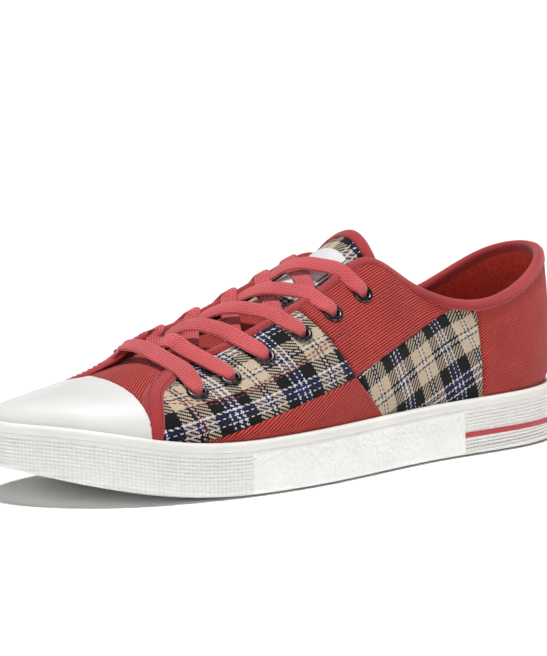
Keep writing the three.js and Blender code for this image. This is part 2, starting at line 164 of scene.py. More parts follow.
def sun(name, azimuth, elevation, strength, softness):
    """A distant soft lamp; azimuth 0 shines from the toe end and 90 from the outer side."""
    data = bpy.data.lights.new(name, "SUN")
    data.energy = strength
    data.angle = math.radians(softness)
    item = bpy.data.objects.new(name, data)
    turn, lift = math.radians(azimuth), math.radians(elevation)
    towards = Vector((math.sin(turn) * math.cos(lift), -math.cos(turn) * math.cos(lift), math.sin(lift)))
    item.rotation_euler = towards.to_track_quat("Z", "Y").to_euler()
    bpy.context.scene.collection.objects.link(item)


sun("overhead", 60, 88, 3.1, 9)
sun("front fill", 45, 30, 0.3, 30)
print("light: an even sky and two distant soft lamps")

# %% [markdown]
# ## The foot form, repeated from the part
# Every soft piece of this shoe follows the last, the foot form inside it. Thirteen cross sections
# from toe to heel give the edge of the sole on both sides, the line where the upper ends at the top,
# and how the wall between them swells and leans. Closed smooth curves run through them, and one cubic
# arc joins sole edge and top line at each station. These numbers are the same as in the part.

# %% Sections of the last, in millimetres
SECTIONS = np.array(
    [  # along, lateral, medial, top along, top height, half opening, rise, swell, reach, drop
        (-146, -8, -8, -122, 40.5, 0, 6, 1, 10, 1.6),
        (-138, 15.5, -29, -113, 43.2, 0, 7.5, 1.5, 14, 2.6),
        (-116, 37, -45, -96, 46.8, 0, 10.5, 2, 22, 2.0),
        (-86, 49, -52.7, -72, 52, 0, 14, 2, 30, 1.8),
        (-52, 54, -53.7, -62, 53.5, 18.5, 16, 2, 18, 3),
        (-18, 52.5, -49, -25, 67.5, 22, 22, 1, 15, 5),
        (12, 47.5, -41.5, 4, 79, 19, 28, 0.5, 15, 8),
        (36, 43.5, -37.5, 27, 88, 18, 30, 1, 14, 11),
        (60, 41.5, -36, 46, 76.5, 25.5, 22, 1.5, 8, 12),
        (88, 41, -37.5, 74, 67, 31.5, 16, 2, 4, 12),
        (114, 37.5, -35, 104, 71.5, 30, 18, 2.5, 4, 13),
        (136, 25, -22, 130, 83, 20, 22, 2.5, 4, 16),
        (146, 2, 2, 141, 88, 0, 26, 2.5, 4, 20),
    ],
    float,
)
MEDIAL = SECTIONS.copy()
MEDIAL[4:7, 4:6] = [(57, 12), (71.5, 13), (81.5, 17)]  # higher and nearer the middle over the instep
MEDIAL[9:11, 4] = (64.5, 69)  # a little lower below the ankle
MEDIAL[1:4, [6, 8, 9]] = [(4.5, 9, 4), (8.5, 14, 4.3), (14, 22, 3.2)]  # a low shoulder over the big toe
HEEL_STATION = 12
AROUND = 24
THROAT_STATION = 3
WALL_INSET = 4.5
WALL_HIDDEN = 17  # the wall goes straight down behind the band, this far for each unit of share
TOE_SPRING, SPRING_FROM, SPRING_LENGTH = 13.6, 60, 86
FOXING_FOREFOOT, FOXING_HEEL_RISE, FOXING_TOE_RISE = 22.4, 3.7, 10.2
FOXING_LIFT = 0.8


def toe_share(along):
    """0 up to the ball of the foot, then rising to 1 at the toe."""
    return np.clip((-np.asarray(along) - SPRING_FROM) / SPRING_LENGTH, 0, 1)


def ground(along):
    """Height of the sole's underside: the toe springs up from the floor."""
    return TOE_SPRING * toe_share(along) ** 2


def foxing_top(along):
    """Height of the rubber band's upper edge."""
    heelward = np.clip((np.asarray(along) + SPRING_FROM) / 200, 0, 1)
    toeward = toe_share(along)
    toe_rise = FOXING_TOE_RISE * (toeward**2 * (3 - 2 * toeward)) ** 1.5
    return FOXING_FOREFOOT + FOXING_HEEL_RISE * heelward + toe_rise


def centre_across(along):
    """The shoe's middle line bends a little towards the big toe."""
    return np.interp(along, [-146, -60, 0, 60, 146], [-8, -3, 0, 1.5, 2])


def closed_curve(points):
    """Control points of the closed cubic spline that runs through these points."""
    points = np.asarray(points, float)
    control = points.copy()
    for _ in range(80):
        control = (6 * points - np.roll(control, 1, 0) - np.roll(control, -1, 0)) / 4
    return control


def on_curve(control, station, slope=False):
    """A point of the closed spline, or its slope."""
    station = np.asarray(station, float)
    first = np.floor(station).astype(int)
    t = station - first
    second, third = 3 * t**3 - 6 * t**2 + 4, -3 * t**3 + 3 * t**2 + 3 * t + 1
    weights = [(1 - t) ** 3 / 6, second / 6, third / 6, t**3 / 6]
    if slope:
        weights = [-((1 - t) ** 2) / 2, (9 * t**2 - 12 * t) / 6, (-9 * t**2 + 6 * t + 3) / 6, t**2 / 2]
    return sum(w[..., None] * control[(first + k - 1) % len(control)] for k, w in enumerate(weights))


lateral, medial = SECTIONS, MEDIAL[-2:0:-1]
EDGE = closed_curve(np.r_[lateral[:, [1, 0]], medial[:, [2, 0]]])
SHAPE = closed_curve(np.r_[lateral[:, 6:10], medial[:, 6:10]])
LOOP = closed_curve(
    np.r_[
        np.c_[SECTIONS[3:, 5], SECTIONS[3:, 3:5]],
        np.c_[-MEDIAL[-2:3:-1, 5], MEDIAL[-2:3:-1, 3:5]],
    ]
)
crest = SECTIONS[:4, 3:5]
beyond = [2 * crest[3] - crest[2], 2 * crest[3] - crest[1], 2 * crest[3] - crest[2]]
RIDGE = closed_curve(np.r_[crest, beyond, crest[3:0:-1]])


def sole_edge(station, inset=0.0):
    """A point of the sole's edge in plan, and the outward direction there."""
    point = on_curve(EDGE, station)
    heading = on_curve(EDGE, station, True)
    heading /= np.linalg.norm(heading, axis=-1, keepdims=True)
    outward = np.stack([heading[..., 1], -heading[..., 0]], -1)
    return point - np.asarray(inset)[..., None] * outward, outward


def top_line(station):
    """The vamp's middle ridge in front of the throat, and the edge of throat and collar behind it."""
    station = np.asarray(station, float) % AROUND
    near = np.minimum(station, AROUND - station)
    ridge = on_curve(RIDGE, near)
    loop = on_curve(LOOP, (station - THROAT_STATION) % (AROUND - 2 * THROAT_STATION))
    front = near < THROAT_STATION
    along = np.where(front, ridge[..., 0], loop[..., 1])
    height = np.where(front, ridge[..., 1], loop[..., 2])
    half = np.where(front, 0, loop[..., 0])
    return np.stack([centre_across(along) + half, along, height], -1)


def wall(station, share):
    """A point of the upper's outer face; share 0 is the foxing's top edge and 1 the top line."""
    station, share = np.broadcast_arrays(np.asarray(station, float), np.asarray(share, float))
    plan, outward = sole_edge(station, np.full(station.shape, WALL_INSET))
    foot = np.concatenate([plan, foxing_top(sole_edge(station)[0][..., 1])[..., None]], -1)
    top = top_line(station)
    shape = on_curve(SHAPE, station)
    reach = plan - top[..., :2]
    reach /= np.maximum(np.linalg.norm(reach, axis=-1, keepdims=True), 1e-6)
    low = foot + np.concatenate([outward * shape[..., 1:2], shape[..., :1]], -1)
    high = top + np.concatenate([reach * shape[..., 2:3], -shape[..., 3:4]], -1)
    t = np.clip(share, 0, None)[..., None]
    point = (1 - t) ** 3 * foot + 3 * (1 - t) ** 2 * t * low + 3 * (1 - t) * t * t * high + t**3 * top
    point[..., 2] += np.minimum(share, 0) * WALL_HIDDEN
    return point


def unit(vectors):
    """Vectors of length one."""
    return vectors / np.maximum(np.linalg.norm(vectors, axis=-1, keepdims=True), 1e-9)


def facing(station, share):
    """The outward direction of the wall."""
    step = 0.004
    share = np.clip(share, 0.002, None)
    along = wall(station + step, share) - wall(station - step, share)
    up = wall(station, share + step) - wall(station, share - step)
    return unit(np.cross(along, up))


widest = wall(np.linspace(0, AROUND, 200), 0.0)[:, 0].max()
print("widest", widest.round(1), "mm from the middle")

# %% [markdown]
# ## Building pieces from grids
# Nearly every piece here is a grid of points laid on the last: a strip, a ring or a sheet. One
# helper turns such a grid into a mesh in metres, with a map in real millimetres for the cloth
# patterns, and another gives a sheet its thickness and turns the modifiers into plain mesh.


# %% Mesh helpers
def add_object(name, points, faces, material=None, maps=None):
    """A mesh object from points in millimetres, with optional map coordinates per point."""
    mesh = bpy.data.meshes.new(name)
    places = (np.asarray(points).reshape(-1, 3) * MM).tolist()
    mesh.from_pydata(places, [], [list(map(int, face)) for face in faces])
    if maps is not None:
        layer = mesh.uv_layers.new(name="cloth")
        corner_points = np.empty(len(mesh.loops), int)
        mesh.loops.foreach_get("vertex_index", corner_points)
        layer.data.foreach_set("uv", np.asarray(maps, float).reshape(-1, 2)[corner_points].ravel())
    mesh.polygons.foreach_set("use_smooth", [True] * len(mesh.polygons))
    item = bpy.data.objects.new(name, mesh)
    bpy.context.scene.collection.objects.link(item)
    if material:
        mesh.materials.append(material)
    return item


def grid_faces(rows, columns, close_rows=False, close_columns=False):
    """Quads of a grid whose points run along the columns first."""
    faces = []
    for r in range(rows if close_rows else rows - 1):
        for c in range(columns if close_columns else columns - 1):
            nr, nc = (r + 1) % rows, (c + 1) % columns
            faces.append((r * columns + c, r * columns + nc, nr * columns + nc, nr * columns + c))
    return faces


def finish_mesh(item, merge=0.0, modifiers=(), outward=True):
    """Merges doubles, applies (kind, settings) modifiers, and turns the faces outwards."""
    work = bmesh.new()
    work.from_mesh(item.data)
    if merge:
        bmesh.ops.remove_doubles(work, verts=work.verts, dist=merge * MM)
    if outward:
        bmesh.ops.recalc_face_normals(work, faces=work.faces)
    work.to_mesh(item.data)
    work.free()
    for kind, settings in modifiers:
        modifier = item.modifiers.new(kind.lower(), kind)
        for key, value in settings.items():
            setattr(modifier, key, value)
    if modifiers:
        graph = bpy.context.evaluated_depsgraph_get()
        made = bpy.data.meshes.new_from_object(item.evaluated_get(graph))
        item.modifiers.clear()
        item.data = made
    return item


def tidy_piece(item, slot, *nodes):
    """Rides the piece on the shoe and hides the nodes that it stands for; the slot is not used."""
    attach(item, "root")
    if nodes:
        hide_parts(*nodes)
    triangles = sum(len(p.vertices) - 2 for p in item.data.polygons)
    print(f"{item.name}: {triangles} triangles")


def path_length(points):
    """Distance along a path at each of its points."""
    return np.r_[0, np.cumsum(np.linalg.norm(np.diff(points, axis=0), axis=1))]


def sweep(name, path, normals, profile, material, scale=None, side=1.0):
    """A closed section (across, outward) carried along a path, with a cap on each end."""
    path, normals = np.asarray(path, float), np.asarray(normals, float)
    ahead = np.roll(path, -1, 0) - np.roll(path, 1, 0)
    ahead[0], ahead[-1] = path[1] - path[0], path[-1] - path[-2]
    ahead = unit(ahead)
    normals = unit(normals - (normals * ahead).sum(-1, keepdims=True) * ahead)
    across = np.cross(ahead, normals) * side
    profile = np.asarray(profile, float)
    if profile.ndim == 2:
        profile = np.repeat(profile[None], len(path), 0)
    if scale is not None:
        profile = profile * np.asarray(scale)[:, None, :]
    rings = path[:, None] + across[:, None] * profile[..., :1] + normals[:, None] * profile[..., 1:2]
    rows, columns = profile.shape[:2]
    length, round_section = path_length(path), path_length(profile[0])
    maps = np.stack(np.broadcast_arrays(length[:, None], round_section[None]), -1)
    faces = grid_faces(rows, columns, close_columns=True)
    faces += [list(range(columns)), list(range((rows - 1) * columns, rows * columns))]
    item = add_object(name, rings, faces, material, maps)
    return finish_mesh(item)


def arc_table(columns, rows):
    """Heights along the wall and lengths round the shoe, for maps in real millimetres."""
    heights = np.linalg.norm(np.diff(wall(columns[:, None], rows[None]), axis=1), axis=-1)
    return np.c_[np.zeros(len(columns)), np.cumsum(heights, 1)]


print("helpers ready")
# %% [markdown]
# ## Finishes
# Each finish starts from what it really is: ribbed cotton, a woven check, a folded tape, moulded
# rubber, plated brass. Cloth patterns read each piece's own map, whose numbers are millimetres along
# and across the cloth, so that threads keep their real size wherever the panel bends.


# %% Node helpers
def cloth_axes(tree):
    """The piece's own map as two outputs, millimetres along and across the cloth, and as a vector."""
    source = add(tree, "ShaderNodeUVMap", uv_map="cloth")
    split = add(tree, "ShaderNodeSeparateXYZ", {0: source.outputs[0]})
    return split.outputs[0], split.outputs[1], source.outputs[0]


def object_place(tree):
    """Object coordinates, in metres."""
    return add(tree, "ShaderNodeTexCoord").outputs["Object"]


def maths(tree, operation, *terms):
    """One Math node fed with outputs or plain numbers."""
    node = add(tree, "ShaderNodeMath", operation=operation)
    for place, term in enumerate(terms):
        if isinstance(term, (int, float)):
            node.inputs[place].default_value = term
        else:
            tree.links.new(term, node.inputs[place])
    return node.outputs[0]


def plus(tree, first, *others):
    """The sum of several terms."""
    for other in others:
        first = maths(tree, "ADD", first, other)
    return first


def times(tree, first, second):
    """The product of two terms."""
    return maths(tree, "MULTIPLY", first, second)


def wave(tree, line, pitch):
    """A sine along a line, from crest to crest in one pitch."""
    return maths(tree, "SINE", times(tree, line, 2 * math.pi / pitch))


def noise(tree, place, scale, detail):
    """Plain noise, scaled in the units of the given coordinates."""
    return add(tree, "ShaderNodeTexNoise", {0: place}, {"Scale": scale, "Detail": detail}).outputs[0]


def stretched_noise(tree, vector, along, across, detail=3.0):
    """Noise drawn out along a thread: sizes in units of the given coordinates."""
    place = add(tree, "ShaderNodeMapping", {0: vector})
    place.inputs["Scale"].default_value = (1 / along, 1 / across, 1 / across)
    return noise(tree, place.outputs[0], 1.0, detail)


def toned(tree, factor, *stops, interpolation="LINEAR"):
    """The colour of a ramp at a factor."""
    return fill_ramp(add(tree, "ShaderNodeValToRGB", {0: factor}), stops, interpolation).outputs[0]


def blend_colours(tree, factor, first, second, kind="MIX"):
    """One Mix node for colours; each term is an output, a number or a hex colour."""
    node = add(tree, "ShaderNodeMix", data_type="RGBA", blend_type=kind)
    for place, term in ((0, factor), (6, first), (7, second)):
        if isinstance(term, str):
            node.inputs[place].default_value = linear(term)
        elif isinstance(term, (int, float)):
            node.inputs[place].default_value = term
        else:
            tree.links.new(term, node.inputs[place])
    return node.outputs[2]


def shaded(tree, colour, shade, factor=1.0):
    """A colour darkened by a shade."""
    return blend_colours(tree, factor, colour, shade, "MULTIPLY")


def paint(tree, shader, colour):
    """Gives the shader its base colour."""
    tree.links.new(colour, shader.inputs["Base Color"])


def bump(tree, shader, height, depth, strength=1.0):
    """Relief of a given depth in millimetres."""
    node = add(tree, "ShaderNodeBump", {"Height": height}, {"Distance": depth * MM, "Strength": strength})
    tree.links.new(node.outputs[0], shader.inputs["Normal"])


# %% [markdown]
# ** Ribbed cotton canvas** is woven with thick cords that stand up as fine ribs. Its crests are painted a lighter red as painted light,
# its valleys darker reds as painted shade, and the tiny cross threads show over each cord.

# %% Ribbed canvas
RIB_PITCH, CROSS_PITCH, RIB_DEPTH = 1.15, 0.62, 0.22  # millimetres
# painted light and shade: one red cloth is given a lit crest colour and shaded side and valley colours
RIB_CREST_PAINTED_LIGHT, RIB_SIDE_PAINTED_SHADE, RIB_VALLEY_PAINTED_SHADE = "#CE4E45", "#A02826", "#40060A"


def ribbed_canvas(name):
    """Red canvas whose ribs run along the cloth's first direction."""
    material, tree, shader = new_material(
        name, Roughness=0.88, Sheen_Weight=0.12, Sheen_Roughness=0.5, Specular_IOR_Level=0.2
    )
    along, across, vector = cloth_axes(tree)
    drift = times(tree, stretched_noise(tree, vector, 14.0, 2.4), 0.5)
    ribs = wave(tree, plus(tree, across, drift), RIB_PITCH)
    level = plus(tree, times(tree, ribs, 0.5), 0.5)
    nubs = times(tree, times(tree, wave(tree, along, CROSS_PITCH), level), 0.1)
    fuzz = times(tree, stretched_noise(tree, vector, 1.6, 0.5), 0.3)
    height = plus(tree, level, nubs, fuzz)
    # painted highlight on the rib crests and painted shade in the valleys, following the rib height
    tone = toned(tree, height, (0.1, RIB_VALLEY_PAINTED_SHADE), (0.45, RIB_SIDE_PAINTED_SHADE), (0.95, RIB_CREST_PAINTED_LIGHT))
    cloud = toned(tree, stretched_noise(tree, vector, 22.0, 16.0), (0.3, "#E6E2E2"), (0.7, "#FFFFFF"))
    paint(tree, shader, shaded(tree, tone, cloud))
    bump(tree, shader, height, RIB_DEPTH)
    return material


RED_CANVAS = ribbed_canvas("red ribbed cotton canvas, woven")
print("ribs", RIB_PITCH, "mm apart")

# %% [markdown]
# **Woven check** is a twill: each thread passes over two and under two, one step further on each
# row, so a dark stripe over a pale one shows as slanting hatch lines, and two dark stripes meet in a
# solid block. The same row of thread colours is used both ways. Threads are drawn 0.5 to 0.7 mm apart.

# %% Plaid twill
DRAFT_LENGTH = 26.0
BLACK, BEIGE, WHITE, NAVY = "#101114", "#D9C8B2", "#EFEDF3", "#22244A"
THREADS = (  # units from the repeat's start, colour
    (0.0, BLACK), (0.6, BEIGE), (5.0, NAVY), (5.6, "#E2DBD2"), (6.8, "#15161A"), (7.4, BEIGE),
    (11.5, BLACK), (16.4, WHITE), (17.0, "#262A56"), (18.6, WHITE), (19.3, "#2A2F66"),
    (20.9, WHITE), (21.5, BLACK),
)
THREAD_STOPS = [(place / DRAFT_LENGTH, colour) for place, colour in THREADS]
TWILL_STEPS = 4.0  # two threads over, two under
BEYOND_START = 20  # whole repeats added, so that the count stays positive


def plaid_twill(name, repeat, thread, start, lean):
    """Check cloth: repeat, thread width and shift in mm along and across; lean 1 or -1 turns the hatch."""
    material, tree, shader = new_material(
        name, Roughness=0.88, Sheen_Weight=0.08, Sheen_Roughness=0.5, Specular_IOR_Level=0.2
    )
    along, across, vector = cloth_axes(tree)
    yarns = []
    for line, length, width, shift in zip((along, across), repeat, thread, start):
        shifted = plus(tree, line, shift + BEYOND_START * length)
        threads = maths(tree, "DIVIDE", shifted, width)
        count = maths(tree, "FLOOR", threads)
        middle = times(tree, plus(tree, count, 0.5), width)
        share = maths(tree, "FRACT", maths(tree, "DIVIDE", middle, length))
        colour = toned(tree, share, *THREAD_STOPS, interpolation="CONSTANT")
        rounded = maths(tree, "SINE", times(tree, maths(tree, "SUBTRACT", threads, count), math.pi))
        yarns.append((count, colour, rounded))
    (count_a, colour_a, round_a), (count_b, colour_b, round_b) = yarns
    leaning = plus(tree, count_b, times(tree, count_a, -lean))
    over = maths(tree, "LESS_THAN", maths(tree, "FLOORED_MODULO", leaning, TWILL_STEPS), 1.5)
    upper_yarn = blend_colours(tree, over, colour_b, colour_a)
    lower_yarn = blend_colours(tree, over, colour_a, colour_b)
    # painted shade: each upper yarn is darkened a little by the colour of the yarn under it
    colour = shaded(tree, upper_yarn, lower_yarn, 0.22)
    fuzz = toned(tree, stretched_noise(tree, vector, 0.7, 0.7), (0.25, "#D0CCC8"), (0.75, "#FFFFFF"))
    paint(tree, shader, shaded(tree, colour, fuzz))
    height = add(tree, "ShaderNodeMix", {0: over, 2: round_b, 3: round_a}, data_type="FLOAT")
    bump(tree, shader, height.outputs[0], 0.07, 0.8)
    return material


FRONT_PLAID = plaid_twill(
    "plaid twill of the front quarter, yarn dyed", (35.5, 30), (0.72, 0.45), (50.3, -54.6), -1
)
REAR_PLAID = plaid_twill(
    "plaid twill of the rear quarter, yarn dyed", (31.5, 37), (0.6, 0.46), (-49.8, -14.4), 1
)
TONGUE_PLAID = plaid_twill("plaid twill of the tongue, yarn dyed", (36, 30), (0.66, 0.46), (0, 12), 1)
print("check cloth", len(THREADS), "stripes in each repeat")

# %% [markdown]
# ** Binding tape** is thin cotton twill folded over a raw edge, so it looks smooth and slightly fuzzy,
# with faint threads along it. **The lining** is plain dark red cotton, painted a lighter red as painted
# light against the shade inside the shoe. **The laces** are flat woven braid: long cords side by side
# with short slanting stitches on them.


# %% Tape, lining and lace
def woven_tape(name, light, dark, pitch, slant, depth):
    """A narrow woven tape with cords along it and short slanting threads over them."""
    material, tree, shader = new_material(
        name, Roughness=0.85, Sheen_Weight=0.3, Sheen_Roughness=0.45, Specular_IOR_Level=0.25
    )
    along, across, vector = cloth_axes(tree)
    cords = times(tree, wave(tree, across, pitch), 0.24)
    knots = times(tree, wave(tree, plus(tree, along, times(tree, across, slant)), pitch * 1.15), 0.26)
    fuzz = times(tree, stretched_noise(tree, vector, 0.9, 0.5), 0.9)
    level = plus(tree, cords, knots, fuzz)
    tone = toned(tree, level, (0.0, dark), (0.75, light))
    cloud = toned(tree, stretched_noise(tree, vector, 30.0, 30.0), (0.3, "#E4DFDF"), (0.7, "#FFFFFF"))
    paint(tree, shader, shaded(tree, tone, cloud))
    bump(tree, shader, level, depth)
    return material


BINDING = woven_tape("red cotton binding tape, folded", "#C44448", "#92262B", 0.55, 1.0, 0.1)
LACE = woven_tape("coral flat lace, woven cotton braid", "#EA6C70", "#A03036", 1.15, 0.9, 0.22)


def plain_weave(name, light, dark, pitch, depth, **values):
    """A plain weave on Object coordinates: two crossed sets of threads, drawn at a pitch in mm."""
    material, tree, shader = new_material(name, Roughness=0.9, Specular_IOR_Level=0.2, **values)
    place = object_place(tree)
    x, y, z = add(tree, "ShaderNodeSeparateXYZ", {0: place}).outputs
    first = wave(tree, plus(tree, x, y), pitch * MM)
    second = wave(tree, maths(tree, "SUBTRACT", z, y), pitch * MM)
    level = plus(tree, times(tree, plus(tree, first, second), 0.12), noise(tree, place, 700.0, 4.0))
    paint(tree, shader, toned(tree, level, (0.3, dark), (0.75, light)))
    bump(tree, shader, level, depth)
    return material


# painted light: the lining's reds are lighter than its dark red cloth, to make up for the shade inside the
# shoe
LINING = plain_weave("dark red cotton lining, plain weave", "#E2503F", "#B4362C", 0.9, 0.12, Sheen_Weight=0.1)
INSOLE_CLOTH = plain_weave("red cotton insole cover, plain weave", "#9A2E33", "#6C181D", 1.0, 0.12)
BOARD = plain_weave("grey fibre filler board, pressed", "#B9B2A6", "#8F887C", 1.6, 0.1)
print("binding, lace, lining, insole cover and board")


# %% [markdown]
# **Vulcanised rubber** is moulded, cured with the shoe, and comes out soft white with a dull satin
# gloss and very faint mottling. The band round the foot carries moulded texture: small squares at toe
# and heel, and leather grain along the waist of the shoe.


# %% White rubber
def white_rubber(name, light="#F5F4F1", dark="#EDECE9", roughness=0.5, skin_depth=None):
    """Mottled white rubber; the skin is a very fine relief."""
    material, tree, shader = new_material(name, Roughness=roughness, IOR=1.5, Specular_IOR_Level=0.4)
    place = object_place(tree)
    tone = toned(tree, noise(tree, place, 45.0, 4.0), (0.35, dark), (0.65, light))
    paint(tree, shader, tone)
    if skin_depth:
        bump(tree, shader, noise(tree, place, 700.0, 3.0), skin_depth)
    return material, tree, shader, place, tone


# painted shade: the cap's white is greyer than the band's, to offset the stronger light on its top
CAP_RUBBER = white_rubber(
    "white moulded rubber, smooth toe cap", "#DFDEDC", "#D9D8D6", skin_depth=0.03
)[0]
SOLE_RUBBER = white_rubber("white moulded rubber, outsole", "#E2E1DD", "#D6D5D0", 0.6, 0.08)[0]

GRAIN_FROM, GRAIN_TO = -64.0, 64.5  # along the shoe; squares before and after
SQUARE_ALONG, SQUARE_UP = 1.8, 1.5
TEXTURE_FROM = 5.0  # below the band's upper edge
FOXING_RUBBER, tree, shader, place, tone = white_rubber("white moulded rubber, textured foxing band")
along, across, _ = cloth_axes(tree)
lengthwise = times(tree, wave(tree, along, SQUARE_ALONG), 0.7)
knurl = times(tree, plus(tree, lengthwise, wave(tree, across, SQUARE_UP)), 0.5)
cells = add(tree, "ShaderNodeTexVoronoi", {0: place}, {"Scale": 620.0}, feature="SMOOTH_F1").outputs[0]
grain = times(tree, cells, 2.0)
shoe_length = add(tree, "ShaderNodeSeparateXYZ", {0: place}).outputs[1]
after = maths(tree, "GREATER_THAN", shoe_length, GRAIN_FROM * MM)
before = maths(tree, "LESS_THAN", shoe_length, GRAIN_TO * MM)
waist = times(tree, after, before)
texture = add(tree, "ShaderNodeMix", {0: waist, 2: knurl, 3: grain}, data_type="FLOAT").outputs[0]
texture = times(tree, texture, maths(tree, "GREATER_THAN", across, TEXTURE_FROM))
bump(tree, shader, texture, 0.3)
# the hollows of the moulded texture, and the plain strip above it, are made darker
low_relief_darkening = toned(tree, texture, (0.0, "#E4E3DF"), (0.45, "#FFFFFF"))
paint(tree, shader, shaded(tree, tone, low_relief_darkening, 0.5))

RED_RUBBER, tree, shader = new_material("red moulded rubber, heel stripe", Roughness=0.5)
along, across, _ = cloth_axes(tree)
dots = plus(tree, times(tree, wave(tree, along, 1.2), wave(tree, across, 1.2)), 1.0)
paint(tree, shader, toned(tree, times(tree, dots, 0.5), (0.2, "#9E2028"), (0.8, "#C8444A")))
bump(tree, shader, dots, 0.1)
print("rubber squares", SQUARE_ALONG, "by", SQUARE_UP, "mm")

# %% [markdown]
# **Eyelets** are brass rings plated in dark gunmetal: a metal with soft reflections and small wear on
# the rim. **The thread** is twisted dark red cotton, and **the label** is white satin ribbon, left
# bare, with two thin dark lines woven near its long edges.

# %% Metal, thread and label
GUNMETAL, tree, shader = new_material("gunmetal plated brass, stamped", Metallic=1.0)
wear = noise(tree, object_place(tree), 800.0, 4.0)
paint(tree, shader, toned(tree, wear, (0.4, "#2E2D30"), (0.7, "#646468")))
rough = add(tree, "ShaderNodeMapRange", {0: wear}, {3: 0.2, 4: 0.42})
tree.links.new(rough.outputs[0], shader.inputs["Roughness"])
bump(tree, shader, wear, 0.02)

THREAD, tree, shader = new_material(
    "dark red sewing thread, twisted cotton", Roughness=0.8, Sheen_Weight=0.2
)
fibre = noise(tree, object_place(tree), 2400.0, 3.0)
paint(tree, shader, toned(tree, fibre, (0.35, "#6A1118"), (0.7, "#9C2A32")))
bump(tree, shader, fibre, 0.05)

RIBBON_LINE, RIBBON_LINE_HALF = 11.2, 0.28  # the woven lines' distance from the middle, and half width
LABEL, tree, shader = new_material("white satin ribbon, woven", Roughness=0.6, Sheen_Weight=0.4)
along, across, vector = cloth_axes(tree)
satin = stretched_noise(tree, vector, 3.0, 0.25)
tone = toned(tree, satin, (0.3, "#D4D2D6"), (0.7, "#E6E4EA"))
from_middle = maths(tree, "ABSOLUTE", along)
from_line = maths(tree, "ABSOLUTE", maths(tree, "SUBTRACT", from_middle, RIBBON_LINE))
off_line = maths(tree, "GREATER_THAN", from_line, RIBBON_LINE_HALF)
paint(tree, shader, blend_colours(tree, off_line, "#1B1B1F", tone))
bump(tree, shader, satin, 0.03)
print("finishes", len(bpy.data.materials))

# %% [markdown]
# ## The upper
# The upper's inner layer is one shell of canvas with a cotton lining, from the rubber band up to the
# throat and collar. In front of the throat both sides meet on the middle line, so the two edges are
# merged there. It gets its two millimetres from a Solidify modifier, whose inner wall is the lining.

# %% Eyelet places
EYELETS = [(6.35, 0.74), (5.63, 0.74), (5.01, 0.71), (4.45, 0.68), (3.85, 0.61), (3.15, 0.48)]
EYELET_SHARE = np.array([share for _, share in EYELETS])
LATERAL_EYELETS = np.array([station for station, _ in EYELETS])
MEDIAL_EYELETS = AROUND - LATERAL_EYELETS
EYELET_CENTRES = {
    "lateral": wall(LATERAL_EYELETS, EYELET_SHARE),
    "medial": wall(MEDIAL_EYELETS, EYELET_SHARE),
}
HOLE_RADIUS = 3.3
all_centres = np.concatenate(list(EYELET_CENTRES.values()))


def punch(points, faces):
    """Leaves out the faces under each eyelet, so that the layer has a real hole there."""
    middle = np.array([np.mean(points[list(face)], axis=0) for face in faces])
    gap = np.linalg.norm(middle[:, None] - all_centres[None], axis=-1).min(1)
    return [face for face, away in zip(faces, gap) if away > HOLE_RADIUS]


# %% Real lengths on the wall
TUCK = 9.6  # the cloth goes this far down behind the band
COLUMNS, ROWS = 240, 80
TABLE_COLUMNS = np.linspace(0, HEEL_STATION, COLUMNS + 1)
TABLE_ROWS = np.linspace(0, 1, ROWS + 1)
HEIGHTS = arc_table(TABLE_COLUMNS, TABLE_ROWS)
belt = wall(TABLE_COLUMNS, 0.3)
round_length = path_length(belt)
# what the bend of toe and heel adds to the straight distance along the shoe
BEND_LENGTH = round_length - np.interp(0, belt[:, 1], round_length) - belt[:, 1]


def real_lengths(station, share):
    """Millimetres along the side and up the wall; the inner side is the mirror of the outer."""
    station, share = np.broadcast_arrays(np.asarray(station, float), np.asarray(share, float))
    near = np.minimum(station % AROUND, AROUND - station % AROUND)
    column = np.clip(near / HEEL_STATION * COLUMNS, 0, COLUMNS - 0.001)
    row = np.clip(share * ROWS, 0, ROWS - 0.001)
    c, r = column.astype(int), row.astype(int)
    a, b = column - c, row - r
    below = HEIGHTS[c, r] * (1 - a) + HEIGHTS[c + 1, r] * a
    above = HEIGHTS[c, r + 1] * (1 - a) + HEIGHTS[c + 1, r + 1] * a
    height = below * (1 - b) + above * b + np.minimum(share, 0) * TUCK
    foot = foxing_top(sole_edge(near)[0][..., 1])
    along = wall(near, share)[..., 1] + np.interp(near, TABLE_COLUMNS, BEND_LENGTH)
    return along, height + foot


def turned(along, across, degrees):
    """Map coordinates turned so that the first runs at an angle to the sole."""
    angle = math.radians(degrees)
    first = along * math.cos(angle) + across * math.sin(angle)
    second = -along * math.sin(angle) + across * math.cos(angle)
    return np.stack([first, second], -1)


print("wall height at the heel", HEIGHTS[-1, -1].round(1), "mm")

# %% Upper shell
SHELL_COLUMNS, SHELL_THICKNESS = 480, 2.0
shell_stations = np.linspace(0, AROUND, SHELL_COLUMNS, endpoint=False)
shell_shares = np.r_[-1.0, -0.5, np.linspace(0, 1, 43)]
shell_grid = wall(shell_stations[:, None], shell_shares[None])
shell_grid[..., 2] = np.where(
    shell_shares[None] < 0,
    foxing_top(sole_edge(shell_stations)[0][:, 1])[:, None] + shell_shares[None] * TUCK,
    shell_grid[..., 2],
)
